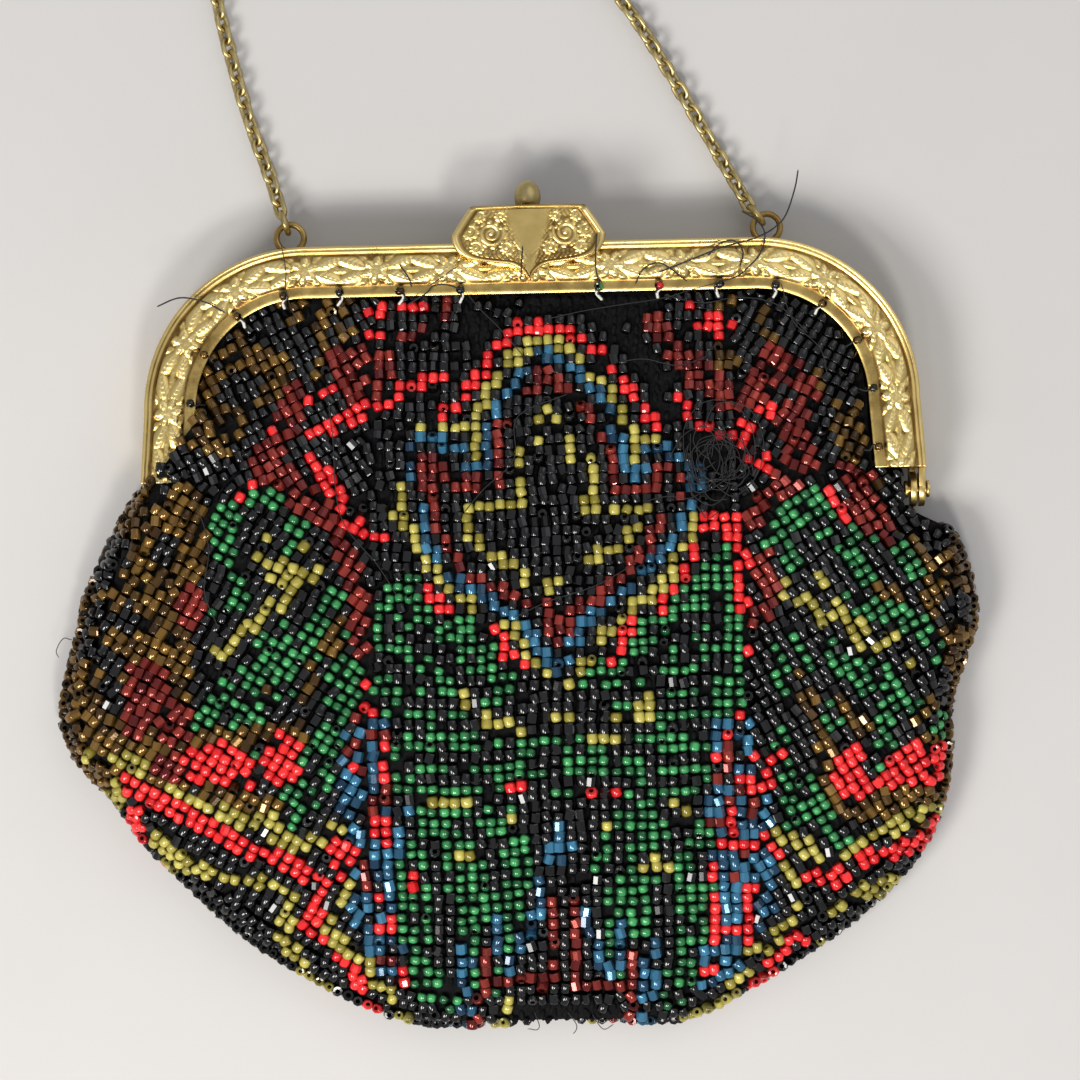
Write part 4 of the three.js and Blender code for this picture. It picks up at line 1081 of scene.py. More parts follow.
def knitted_shades(x, y):
    """The shade of the bead at each place of the pattern, from its motifs laid one over another."""
    shade = np.zeros(x.shape, int)

    def fill(name, *stops):
        shade[inside(x, y, stops)] = SHADES.index(name)

    def line(name, width, *stops):
        shade[line_distance(x, y, stops) < width / 2] = SHADES.index(name)

    def spot(name, middle_x, middle_y, half_x, half_y):
        near = ((x - middle_x) / half_x) ** 2 + ((y - middle_y) / half_y) ** 2 < 1
        shade[near] = SHADES.index(name)

    def scatter(name, share, *stops):
        chosen = inside(x, y, stops) & (bead_chance.random(x.shape) < share)
        shade[chosen] = SHADES.index(name)

    # Brown side fields with black lozenges, and the mottled shoulders beside the arch
    fill("topaz", (-60, 36), (-46, 26), (-51, 6), (-53, -4), (-52, -14), (-55, -21), (-64, -24),
         (-80, -14), (-80, 24))
    fill("topaz", (56, 34), (60, 16), (62, 2), (60, -8), (56, -17), (56, -27), (74, -27), (74, 30))
    fill("topaz", (-54, 48), (-40, 58), (-29, 58), (-29, 50), (-36, 44), (-46, 33), (-56, 28), (-62, 34))
    fill("topaz", (26, 58), (40, 57), (54, 48), (62, 36), (58, 26), (48, 30), (46, 42), (38, 50))
    for middle in (
            (-66.6, 17.5), (-69, 14), (-59, 18), (-59.3, 29), (-69.6, 7.2), (-65.4, 6.6), (-71, 2),
            (-67.6, -1), (-67.4, -5.6)):
        spot("jet", *middle, 2.1, 2.6)
    spot("jet", -51.6, 29, 3.6, 3.8)
    for middle in ((-47.2, 43.7), (-43, 52.5), (-42.6, 38), (-37.5, 50), (-58.5, 31.5), (-45, 33)):
        spot("jet", *middle, 3.5, 2.9)
    fill("jet", (31, 58), (42, 57), (55, 47), (55, 41), (47, 41), (44, 47), (37, 52), (33, 53))
    for middle in ((56, 31), (63, 20), (66, 8), (63, -2), (68, -8)):
        spot("jet", *middle, 2.8, 3.0)
    spot("jet", 59.5, 25, 3.4, 4.4)
    scatter("jet", 0.16, (-56, 50), (-28, 60), (-28, 48), (-46, 30), (-62, 30))
    scatter("jet", 0.3, (26, 60), (54, 50), (64, 30), (48, 28), (38, 48))
    line("jet", 2.4, (-50, 24), (-52.5, 10), (-54, -4), (-53, -12))
    spot("garnet", -55.0, 9.0, 2.4, 4.0)
    spot("garnet", -62.0, -3.7, 3.8, 3.8)
    spot("garnet", -63.2, -8.6, 3.0, 3.2)
    spot("garnet", -57.4, -9.8, 2.8, 3.6)
    spot("garnet", -58.0, -16.5, 2.8, 2.6)

    # The left leaf, black with broken green veins, yellow stems and two red flowers
    fill("jet", (-42.5, 29.5), (-50, 23.5), (-52.5, 10), (-54.5, -9), (-47, -16), (-40, -26), (-33, -27),
         (-29, -10), (-28.5, 4), (-32.5, 10.5), (-36.5, 20.5))
    line("green", 4.6, (-42.5, 29), (-49.5, 22.5), (-50, 17.5))
    line("green", 4.0, (-41.5, 28), (-37, 19.5), (-38, 16.5))
    line("green", 3.0, (-48, 14), (-47, 10), (-51, 8))
    line("green", 4.6, (-32.5, 10.5), (-35, 4), (-39, -4))
    line("green", 5.2, (-42, 5), (-42, -2), (-48, -12))
    line("green", 4.2, (-46, -2), (-53, -9))
    line("green", 5.6, (-30, 4), (-31, -6), (-36, -20), (-40, -25))
    line("green", 3.2, (-44, -8), (-46, -15))
    line("topaz", 2.4, (-31, 6), (-33, 2))
    line("topaz", 3.0, (-36, -1), (-37, -5))
    line("topaz", 2.4, (-43, -5), (-41, -12))
    spot("yellow", -40.7, 13.6, 3.2, 2.6)
    line("yellow", 1.9, (-40, 13), (-34.4, 14.2))
    line("yellow", 1.8, (-36, 15.6), (-37.4, 17.8))
    spot("yellow", -42.5, 19.7, 1.2, 1.2)
    line("yellow", 1.9, (-44.6, 16.4), (-42, 14))
    line("yellow", 2.2, (-39.4, 11), (-44, 6.6), (-48.3, 3.6), (-51.3, 0.2), (-52.6, -1.8))
    scatter("jet", 0.14, (-42.5, 29.5), (-52, 22), (-54, -9), (-40, -26), (-29, -24), (-28, 4), (-36, 20))
    line("topaz", 3.2, (-53, -12), (-46, -12), (-38, -11))
    spot("red", -50.6, -16, 5.8, 3.6)
    spot("red", -49, -19.5, 3.6, 2.8)
    spot("red", -40.5, -15.5, 3.2, 4.6)
    line("topaz", 2.2, (-50, -22.5), (-42, -22.5))

    # The right leaf
    fill("jet", (43.5, 27), (37, 20), (36, 12), (38, 0), (40, -10), (41, -24), (48, -30), (55, -24),
         (54, -17), (65.5, -9), (63.5, 2), (59, 14), (52, 18))
    line("green", 4.6, (43, 26), (37.5, 19.5), (40, 16))
    line("green", 4.0, (44, 25.5), (52, 18))
    line("green", 3.0, (45, 21), (50, 17))
    line("green", 3.0, (58, 17), (60, 14))
    line("green", 3.0, (50.5, 14.4), (54, 11.6))
    line("green", 3.6, (49.7, 9.6), (60.6, 5.9))
    line("green", 3.0, (62.4, 3), (63.5, 0))
    line("green", 2.6, (40.3, 3.8), (42.8, 0))
    line("green", 3.6, (46.6, 2.6), (51.8, -4.5))
    line("green", 3.0, (53, -0.6), (59, -7))
    line("green", 3.6, (45, -4.6), (47, -10))
    line("green", 3.0, (55.5, -7.8), (54.6, -16.7))
    line("green", 3.0, (60.5, -7.8), (65.3, -11))
    line("green", 4.4, (44, -23), (49, -28.5))
    line("green", 3.2, (40.5, -17), (40.5, -25))
    line("yellow", 2.4, (38.7, 12), (45.6, 7))
    line("yellow", 2.2, (44, 13.6), (47.2, 10))
    line("yellow", 2.4, (48.2, 8.8), (52.2, 2.6), (57, 3.5), (59, -0.2))
    line("topaz", 2.5, (53.5, 12), (57.6, 11))
    line("topaz", 2.5, (42, -2), (43.5, -8.8), (45.5, -13))
    line("topaz", 3.0, (48.5, -6.5), (51.3, -10))
    line("topaz", 2.2, (63, -6), (59.8, -10))
    line("green", 2.6, (37.6, 2), (39.6, -6))
    line("green", 2.6, (38.4, -12), (40.6, -24))
    line("green", 2.4, (43.5, -18.5), (46, -27))
    scatter("jet", 0.14, (43, 27), (36, 18), (39, -10), (41, -26), (50, -28), (65, -10), (64, 2),
            (54, 20))
    line("topaz", 2.2, (45.9, -13.6), (45.2, -17), (45.4, -20.3), (49.2, -23.6), (51.8, -24.8),
         (53.8, -23.2))
    fill("red", (46.7, -15.7), (50.4, -12), (51.8, -15.7), (52.4, -19.9), (53.7, -21.7), (51.1, -24.2),
         (47.2, -21.2), (45.7, -18.8))
    spot("red", 60.3, -16.3, 6.0, 3.8)
    spot("red", 56.0, -20.5, 3.4, 2.4)
    line("topaz", 2.0, (56, -23.2), (63, -21.5))
    fill("topaz", (65.2, -4), (74, -4), (74, -23), (64.6, -22))

    # The strips between the leaves and the middle, blue with red and garnet steps
    right_strip = (26.2, -8), (33, -8), (36.4, -20), (37.8, -32), (38, -40), (31, -52), (24, -52), (26, -30)
    left_strip = (
        (-30, -7), (-23, -7), (-20, -14), (-20.5, -30), (-19, -52), (-25, -50), (-32, -36), (-31.5, -20))
    fill("blue", *right_strip)
    fill("blue", *left_strip)
    scatter("jet", 0.10, *right_strip)
    scatter("jet", 0.10, *left_strip)
    scatter("garnet", 0.28, (-31, -8), (-20, -8), (-20, -27), (-29, -27))
    scatter("garnet", 0.12, (-30, -27), (-20, -27), (-20, -50), (-26, -50))
    line("garnet", 2.0, (29.4, -12.6), (30.6, -15.6), (28.8, -17.8))
    for middle in (
            (31.6, -20.4), (33.7, -22.5), (30.2, -21.7), (28, -24.8), (33.8, -24.3), (32.4, -31.1),
            (31.4, -33.7)):
        spot("garnet", *middle, 1.1, 1.1)
    for middle in (
            (34, -15.9), (37.8, -15.1), (29.6, -11.1), (35.2, -35.8), (27.5, -50), (-29, -16.8),
            (-23.4, -14), (-20.6, -16), (-24.6, -17.4), (-23.8, -28.2), (-25, -37.8)):
        spot("red", *middle, 1.1, 1.1)
    fill("red", (31.6, -17.2), (37.4, -17), (37.6, -20.6), (34, -20.8), (32.4, -20), (30.4, -19.4))
    line("red", 1.9, (27.4, -13.4), (27.6, -16.8))
    line("red", 1.9, (30.5, -23.2), (31.2, -27.4), (29.7, -28.6))
    line("red", 2.2, (31.6, -29.2), (35.2, -28.2), (37.7, -30.2), (38.4, -32))
    line("red", 2.0, (28.5, -37.6), (28.5, -45))
    line("red", 1.9, (33.6, -36.5), (33.6, -43.6))
    line("red", 1.9, (28.8, -42.6), (33.6, -42.4))
    line("red", 2.2, (26.4, -34.8), (28.2, -33.2))
    line("red", 2.0, (-26.9, -4.6), (-25.2, -5.2), (-25.9, -7))
    line("red", 1.9, (-25, -23), (-25, -28))
    line("red", 1.9, (-22.4, -41), (-25, -42.4))

    # Red and garnet sprays over the leaves
    line("red", 2.2, (26, 22), (33, 22))
    line("red", 2.4, (32.5, 17.3), (32.5, 8))
    spot("red", 31.5, 1.6, 2.0, 1.8)
    line("red", 2.2, (31.5, -3), (32.5, -8))
    line("garnet", 4.4, (34.6, 22.6), (39, 28), (42.4, 32))
    line("garnet", 3.2, (35.8, 16.5), (36.6, 9), (34, 6))
    line("red", 2.2, (46.4, 26.2), (49.8, 22.6))
    fill("garnet", (47, 32), (53, 31), (57, 22), (56, 17.5), (50, 22))
    line("garnet", 3.8, (-31.5, 19.5), (-28.5, 10), (-27, 1))
    line("garnet", 4.8, (-43, 32), (-33, 22))
    line("red", 2.2, (-30, 22.2), (-25, 19))
    line("red", 2.2, (-35.5, 32), (-30.4, 24.8))
    line("red", 2.6, (-24.5, 9), (-23.4, 0.8))
    line("red", 2.2, (-26.5, -4), (-26.5, -8))
    line("red", 2.2, (-47.5, 26), (-45, 28.5))

    # The green scrolls under the medallion and the rows of green below them
    fill("green", (-26, 12), (-20, 14), (-14, 10), (-6, 2), (-2, -5), (-8, -9), (-27, -7))
    fill("green", (31, 19), (24, 14), (18, 8), (10, 1), (6, -5), (12, -9), (33, -7))
    line("jet", 2.2, (-24, 6), (-16, 2), (-8, -6))
    line("jet", 2.0, (-25, 0), (-16, -4))
    line("jet", 2.2, (28, 8), (20, 3), (12, -6))
    line("jet", 2.0, (30, 0), (20, -4))
    fill("jet", (-22, -5), (27, -5), (28, -11), (-24, -11))
    line("green", 2.6, (-25, -7), (-16, -9), (-6, -6))
    line("green", 2.6, (30, -7), (20, -9), (12, -6))
    line("yellow", 1.75, (-11, -4.3), (-10.8, -7.3), (-9, -7.3))
    line("yellow", 1.75, (-8.4, -9), (-5.2, -9))
    line("yellow", 1.75, (-4.8, -11), (-2, -11))
    line("yellow", 1.75, (2.6, -9), (5, -9))
    line("yellow", 1.7, (18.4, -4), (17.6, -6.6), (15.6, -7.4))
    line("yellow", 1.75, (12.8, -9), (17, -9))
    fill("green", (-24, -11), (28, -11), (27, -21), (-22, -21))
    line("jet", 1.8, (-20, -14.6), (-4, -14.6))
    line("jet", 1.8, (12, -14.6), (26, -14.6))
    line("jet", 2.0, (-18, -19), (24, -19))
    line("yellow", 1.75, (9, -12.2), (11.8, -12.2))
    line("yellow", 1.75, (-16, -22.2), (-8.2, -22.2))
    line("yellow", 1.75, (15.3, -23), (24, -23))
    line("red", 1.9, (-7, -19.6), (-2.2, -19.6))
    line("red", 1.9, (8.8, -20.2), (13.4, -20.2))

    # The lower middle: a black and garnet spire with blue sides between two green flanks
    fill("green", (-20, -23), (-3, -23), (0, -30), (-4, -50), (-10, -57), (-20, -54), (-23, -36))
    fill("green", (13, -23), (27, -24), (28, -36), (25, -54), (17, -57), (12, -50), (8, -30))
    fill("jet", (-3, -23), (13, -23), (8, -31), (12, -52), (-3, -52), (2, -31))
    line("green", 2.4, (5, -14), (-3, -16), (-8, -22))
    line("green", 2.4, (5, -14), (13, -16), (17, -22))
    line("jet", 2.4, (-17, -30), (-15, -38), (-15, -48))
    line("jet", 2.4, (20, -30), (20, -48))
    line("jet", 2.0, (-9, -27), (-6, -34))
    line("jet", 2.0, (14, -27), (11.5, -34))
    fill("blue", (2.4, -24.6), (5.0, -24.6), (6.6, -32), (0.6, -32))
    fill("garnet", (2.8, -31.6), (5.2, -31.6), (7.6, -52), (0.6, -52))
    line("garnet", 2.0, (6.2, -42.7), (8.2, -42.7))
    line("jet", 1.7, (4.0, -35), (4.0, -53))
    line("blue", 1.9, (1.4, -31), (0, -40), (-2, -44), (-5, -49))
    line("blue", 1.9, (6.4, -31), (7.6, -40), (9.2, -46), (11.6, -49.6))
    line("garnet", 1.9, (-7, -51.2), (14, -51.2))
    line("blue", 2.2, (-11.4, -44), (-11.6, -60))
    line("garnet", 1.8, (-8.4, -43), (-9, -53), (-10, -60))
    line("blue", 2.0, (-7, -40), (-6, -46))
    line("blue", 2.8, (17.4, -45), (18, -60))
    line("garnet", 1.8, (14.6, -45), (15.5, -60))
    line("blue", 2.0, (13.8, -41), (13.4, -48))
    line("yellow", 1.7, (-12.8, -29.9), (-10.6, -29.9))
    line("yellow", 1.8, (17.2, -31.9), (20.8, -31.9))
    line("yellow", 1.7, (-3.4, -24.4), (-4.8, -26.6))
    line("yellow", 1.7, (9.8, -24.8), (11.4, -26.8))
    line("yellow", 1.9, (-5.2, -54.6), (-6.2, -59))
    line("red", 1.9, (-19.2, -34), (-19.2, -36.4))
    line("red", 1.9, (-20.8, -48.4), (-21, -51))
    spot("red", 27.4, -32.9, 1.6, 1.4)
    scatter("jet", 0.2, (-26, 13), (32, 13), (29, -10), (26, -56), (18, -57), (12, -40), (-2, -40),
            (-9, -57), (-20, -56))

    # The garnet sprays beside the arch, with dotted red edges
    fill("garnet", (-33.1, 49.9), (-27.4, 50.6), (-21.8, 48.5), (-21.8, 46.7), (-25.3, 41.8),
         (-29.6, 40.3), (-31.7, 43.8), (-35.2, 48.2))
    scatter("topaz", 0.5, (-28, 55), (-20, 55), (-20, 51), (-28, 51))
    line("garnet", 2.2, (-14.7, 57.3), (-16.8, 52.5), (-21.1, 50.6))
    line("red", 2.0, (-27, 55.4), (-25, 55.8))
    line("red", 2.0, (-21, 56), (-17.6, 56.6))
    line("red", 2.0, (-27.6, 51.8), (-25, 51.8))
    line("red", 2.2, (-36, 42.2), (-33.6, 43.4))
    line("red", 2.2, (-33, 37.4), (-15.9, 45.3))
    line("garnet", 4.4, (-38.6, 42), (-40.6, 36), (-43.4, 30))
    line("red", 2.2, (-35.5, 36.8), (-36, 33), (-33.4, 29.2))
    spot("red", -42.6, 36.8, 1.4, 1.2)
    line("jet", 2.0, (-36, 34), (-24, 37))
    fill("garnet", (15, 56), (20, 54.5), (24.5, 50.5), (28.5, 46), (33, 42), (33.5, 39.6), (29, 40.2),
         (24, 43.6), (21, 47.6), (18.5, 51.6))
    fill("topaz", (27, 51.4), (31, 51), (32.4, 46.4), (29, 45.6))
    spot("topaz", 30, 57, 2.4, 1.3)
    spot("topaz", 36, 55.4, 2.2, 1.5)
    spot("red", 28.1, 53.2, 3.2, 2.5)
    line("red", 2.0, (23.8, 57), (24.6, 56))
    fill("garnet", (32.1, 41.3), (36.2, 50.6), (43.1, 46.5), (44.8, 40.8), (42, 33.9), (39.6, 27.5),
         (37.3, 24.6), (35.5, 23), (36.5, 28), (38.5, 33), (39, 36), (36.5, 39.5))
    spot("jet", 38.5, 42.5, 2.2, 1.8)
    line("red", 2.0, (22.3, 41.9), (24, 39.6))
    line("red", 2.2, (26.2, 37.8), (32.1, 33.9))
    spot("red", 33, 37, 1.3, 1.8)
    spot("red", 36, 39.9, 1.7, 1.1)
    spot("red", 35, 31.4, 1.9, 1.6)
    line("red", 2.2, (31.6, 19.6), (29.4, 22.4))

    # The medallion: a pointed arch of red, yellow, blue and garnet steps over a round body with a point
    fill("jet", (-5, 52), (6, 52), (18, 37), (25, 31), (25, 20), (12, 4), (4, -4), (-5, 4), (-19, 18),
         (-21, 31), (-16, 38))
    line("red", 2.0, (-6.2, 49.8), (-5, 52.6), (2, 53.2), (6.4, 51.8), (10.1, 48.2), (13.7, 44.5),
         (16.4, 40.9), (18.4, 37.8))
    line("red", 2.0, (-5.4, 51), (-8.6, 46.4), (-11.2, 43.3), (-12.8, 40.6), (-16.6, 39.1))
    line("yellow", 2.0, (-4.4, 47.6), (-0.7, 51.0), (4.4, 50.4), (8.1, 46.7), (10.8, 43.0), (13.5, 38.8),
         (15.1, 35), (15.1, 31.5))
    line("yellow", 1.9, (-4.4, 48.6), (-6.8, 44.8), (-8.9, 40.3), (-10.5, 38.1), (-10.2, 32.1))
    line("yellow", 1.9, (-17.8, 37.2), (-14.4, 36.6), (-11.0, 36.4))
    line("yellow", 1.9, (18.4, 36.0), (15.6, 35.6))
    line("blue", 2.0, (-0.4, 48.4), (2.6, 48.6), (5.0, 46.6), (9.0, 43.0), (12.0, 38.1), (13.2, 33.3),
         (13.5, 30.2), (16.6, 29.8))
    line("blue", 2.0, (0.6, 47.8), (-4.1, 44.5), (-5.6, 41.8), (-7.1, 38.8), (-8.2, 33.3), (-8.6, 30.2),
         (-11.4, 30.2))
    line("blue", 2.0, (-19.3, 35.2), (-15, 34.6), (-11.9, 33.7))
    line("blue", 1.9, (-20.3, 33.6), (-20.5, 29.4))
    line("blue", 2.0, (-18.4, 24.9), (-18.1, 19.9), (-15.3, 15.7), (-13.2, 12.9), (-8.6, 10.6),
         (-3.2, 7.1), (-0.1, 3.5), (2.2, -1.6))
    line("blue", 2.0, (18.0, 33.6), (20.5, 33.3), (22.4, 32.4))
    line("blue", 2.0, (24.8, 31.5), (25.1, 27.2), (23.6, 22.6), (20.2, 18.1), (16.9, 15.0), (12.6, 10.8),
         (8.4, 7.1), (5.3, 2.9), (3.4, -1.8))
    line("garnet", 2.0, (-2.2, 42.0), (1.1, 46.0), (5.3, 42.4), (7.5, 40.6), (9.6, 36.9), (11.5, 33.3),
         (11.5, 27.8), (18.1, 27.8), (19.9, 31.2))
    line("garnet", 2.0, (-5.8, 37.5), (-6.6, 35.7), (-6.4, 28.1), (-13.8, 28.4), (-15.3, 31.4),
         (-18.7, 31.4), (-17.0, 27.2))
    line("garnet", 2.0, (-16.8, 27.2), (-16.6, 22.6), (-14.4, 18.7), (-11.4, 14.0), (-6.2, 11.6),
         (-2.6, 9.4), (0.6, 9.2))
    line("garnet", 2.0, (22.8, 29.4), (22.8, 26.4))
    line("garnet", 2.0, (19.3, 22.6), (16.9, 17.4), (14.2, 14.0), (10.8, 11.0), (7.0, 9.2))
    fill("garnet", (0, 8.4), (7.4, 8.4), (5.6, 4.4), (3.6, 2.2), (1.4, 4.4))
    line("yellow", 1.9, (-22, 28), (-22, 23.3), (-20.2, 21.4), (-19.9, 18.7), (-17.6, 15.7),
         (-15.6, 12.8), (-13.6, 11.0), (-10.5, 9.0))
    line("yellow", 1.9, (25.4, 22.4), (24.3, 19.6), (22.2, 17.5), (21.8, 15), (20.4, 13.0), (18.8, 11),
         (15.7, 9.6), (13.6, 6.0))
    line("yellow", 1.9, (-6.6, 5.4), (-3.0, 4.8), (-1.4, 1.6), (1.6, -2.6))
    line("yellow", 1.9, (13.8, 5.3), (10.6, 4.4), (8.6, 1.6), (6.8, -1.2), (4.2, -3.6))
    line("red", 1.9, (24.4, 17.4), (23.4, 13.4), (21.4, 11.6), (19.6, 9))
    line("red", 1.9, (15.2, 6.4), (13.2, 3.0), (11.2, -0.6))
    line("red", 1.9, (-16.8, 11.2), (-15.4, 9), (-13.6, 7.2))
    line("red", 1.9, (-8.0, 6.2), (-5.8, 3.3), (-4.0, -0.4), (-2.2, -0.8))
    line("yellow", 1.9, (-11.9, 24.5), (-2.7, 24.5), (-2.7, 32.8))
    line("yellow", 1.9, (-11.6, 23.4), (-11.2, 20.4), (-9.3, 18.6), (-7.5, 16.8), (-4.4, 15.8),
         (-2.2, 13.4))
    line("yellow", 1.9, (5.7, 36.2), (5.9, 32.5), (8.1, 31.8), (8.1, 25.8))
    line("yellow", 1.9, (7.8, 23.9), (16.6, 24.1), (16.5, 22), (14.6, 20), (12.9, 17.4), (8.1, 16.7),
         (6.0, 14.0))
    line("yellow", 1.8, (1.0, 13.4), (3.0, 13.4), (2.4, 11.8))
    line("yellow", 1.8, (2.0, 40), (2.2, 38.0), (0.5, 37.6), (0.5, 35.6))

    # The border of the lower sides: a yellow band over a red one, then black with a yellow line turned down
    fill("jet", (-66.5, -19), (-58.9, -24), (-48.6, -29.2), (-37, -34.5), (-32, -35), (-34, -42),
         (-27, -54), (-24, -60), (-45, -60), (-72, -26))
    fill("topaz", (-54, -19.5), (-45, -20), (-43, -23.5), (-53, -23))
    line("yellow", 2.4, (-71.5, -15.4), (-65, -16), (-62.7, -17.3))
    line("yellow", 2.8, (-58.2, -20.2), (-52.5, -23.3), (-48, -24.7), (-42.2, -25), (-40.3, -28.8),
         (-33.9, -28.8), (-30.7, -25.6))
    line("red", 3.2, (-65.9, -18.6), (-58.9, -23), (-48.6, -28.2), (-40.3, -31.7), (-36, -33.9))
    spot("red", -31, -31, 2.6, 3.2)
    line("yellow", 2.3, (-60.8, -28.2), (-57.6, -31.6), (-54.4, -33.3), (-50.6, -33.9), (-43.5, -35.2),
         (-40, -36.6), (-39, -38.4), (-41, -43.2), (-39, -46.7), (-36.5, -49.9), (-33, -54))
    line("red", 2.3, (-33.9, -35.8), (-34.9, -39), (-36.5, -42.2), (-33.9, -44.5), (-30.7, -47.4),
         (-29.4, -50.6), (-26.6, -56))
    line("yellow", 2.1, (-30.7, -35.2), (-32.6, -39.7), (-33.3, -42.9), (-30.4, -45.4), (-27.5, -48),
         (-25.6, -51.2), (-21, -57.4))
    spot("yellow", -59.5, -33.5, 2.4, 2.4)
    spot("yellow", -67.5, -22, 1.7, 3.0)
    spot("red", -64.6, -27, 1.7, 4.2)
    fill("jet", (68, -25), (58, -30), (47, -35), (42, -33), (40, -38), (42, -46), (34, -56), (50, -56),
         (70, -36))
    fill("topaz", (51, -20.5), (61, -20), (66, -21.5), (57, -25), (52, -25))
    line("yellow", 2.6, (38, -26.9), (41.9, -28.8), (45.1, -32), (49, -30.7), (52.2, -28.2), (56, -26.9),
         (59.8, -25), (65.4, -23.4))
    line("red", 3.0, (43.8, -33.3), (46.4, -34.6), (48.6, -33.6))
    line("red", 3.0, (52.2, -31.4), (56, -30.7), (60.5, -28.8), (65, -26.2))
    line("yellow", 2.5, (46.8, -39.4), (49.6, -37.8), (52.8, -36.5), (59, -35.4))
    spot("yellow", 47, -46, 2.6, 1.8)
    line("yellow", 1.9, (39.7, -31.5), (40.4, -35))
    line("yellow", 1.9, (41.2, -39), (40.6, -41.4), (37.4, -43))
    line("red", 1.9, (39.2, -44.2), (42.8, -44))
    line("yellow", 1.9, (33.6, -46.8), (38.4, -45))
    line("red", 1.9, (36.6, -47.4), (41.3, -46.4))
    line("yellow", 1.9, (33, -49), (31.6, -52), (31, -54))
    line("red", 2.0, (34.6, -51.8), (37.4, -50.2))
    line("yellow", 2.2, (23.6, -58), (31, -54.6))
    line("red", 2.2, (31.6, -56.6), (36, -53.4))
    return shade


# Where the cloth is bare: the share of beads left there, and the outline of the place
BARE = (
    (0.10, (-13, 60), (-11.5, 55.6), (-5, 55.2), (8, 55.4), (20, 55.0), (21, 60)),
    (0.30, (-12.4, 57), (-11.6, 50.6), (-8.6, 49.2), (-6.6, 52), (-6, 57)),
    (0.10, (9.5, 55), (12, 50.7), (15.5, 46.2), (18.6, 42), (20.6, 38.6), (23, 38.4), (21.4, 44),
     (18, 50), (16.5, 55)),
    (0.25, (21.5, 36.4), (26.4, 37.2), (30.4, 33), (30, 24.5), (26.8, 24), (26.4, 31)),
    (0.08, (-3.4, -62), (-4.4, -57), (-2, -54.8), (3, -55.4), (6, -54.4), (10, -55.6), (13.4, -54.6),
     (14.2, -58), (13.4, -62)),
    (0.55, (-26, 32), (-22, 34), (-22.5, 24), (-27, 24)),
)


def kept_share(x, y):
    """How many of the beads are left at each place: few where the cloth is bare."""
    share = np.full(x.shape, KEPT_SHARE)
    for left, *stops in BARE:
        share[inside(x, y, stops)] = left
    return share


def edge_beads(field, way, rows):
    """Rows of beads that follow the pouch's edge: places, outward normals and row directions."""
    places, normals, runs = [], [], []
    spacing = int(round(SIDE_SIZE * ROW_PITCH / OUTLINE_STEP))
    inward = np.concatenate([[0, 0], np.arange(EDGE_STEP, EDGE_DEPTH, EDGE_STEP)])
    for row in rows:
        shift = int(spacing * (0.5 * (row % 2)))
        for index in range(shift, len(edge_run), spacing):
            shifted = index + int(bead_chance.normal(0, EDGE_ALONG_JITTER))
            index = min(max(shifted, 0), len(edge_run) - 1)
            stop, outward, ahead = edge_run[index], edge_outward[index], edge_ahead[index]
            x = stop[0] - outward[0] * inward
            y = stop[1] - outward[1] * inward
            z = sample(field, x, y)
            z[0] = EDGE_MIDDLE_Z
            z[1] = z[2]
            length = np.concatenate([[0], np.cumsum(np.hypot(np.diff(inward), np.diff(z)))])
            at = max(row * SIDE_SIZE * BEAD_PITCH + bead_chance.normal(0, EDGE_ROW_JITTER), 0)
            about = [at - SLOPE_REACH, at, at + SLOPE_REACH]
            d = np.interp(about, length, inward)
            h = np.interp(about, length, z)
            rise = np.array([d[2] - d[0], h[2] - h[0]])
            rise /= max(np.linalg.norm(rise), 1e-9)
            tilt = np.array([outward[0] * way * rise[1], outward[1] * way * rise[1], way * rise[0]])
            place = np.array([stop[0] - outward[0] * d[1], stop[1] - outward[1] * d[1], h[1]])
            places.append(place)
            normals.append(tilt / max(np.linalg.norm(tilt), 1e-9))
            twist = bead_chance.normal(0, EDGE_TWIST)
            runs.append((*(twist * ahead - outward * rise[0]), rise[1]))
    return np.array(places), np.array(normals), np.array(runs), SIDE_SIZE


def panel_beads(field, slope, way, angle, middle, size, allowed):
    """A panel of the lattice of stitches over the front or back, its rows at an angle."""
    numbers = np.arange(-PANEL_COUNT, PANEL_COUNT + 1)
    i, j = np.meshgrid(numbers, numbers)
    i, j = i.ravel() * BEAD_PITCH * size, j.ravel() * ROW_PITCH * size
    along = np.array([math.cos(angle), math.sin(angle)])
    up = np.array([-math.sin(angle), math.cos(angle)])
    x = middle[0] + i * along[0] + j * up[0]
    y = middle[1] + i * along[1] + j * up[1]
    x = x + 0.35 * np.sin(y / 8.3 + 0.4) + 0.22 * np.sin(x / 5.1 + y / 13.0)
    y = y + 0.40 * np.sin(x / 10.7) + 0.22 * np.sin(x / 4.3 + 1.0)
    kept = allowed(x, y)
    x, y = x[kept], y[kept]
    x = x + bead_chance.normal(0, SEAT_JITTER, x.shape)
    y = y + bead_chance.normal(0, SEAT_JITTER, y.shape)
    z = sample(field, x, y)
    normal = np.stack([-sample(slope[1], x, y), -sample(slope[0], x, y), np.ones(x.shape)], axis=1) * way
    normal /= np.linalg.norm(normal, axis=1)[:, None]
    run = np.tile((*along, 0.0), (len(x), 1))
    return np.stack([x, y, z], axis=1), normal, run, size


HINGE_SPAN = 4
SLUMP_LOW_Y = 30
SLUMP_RIGHT_X = -50
MARGIN = 2.0
NARROW_MARGIN = 0.7
BEAD_TOP_Y = 58.6
BEAD_FOOT_Y = -59
UNDER_FRAME = 7.3


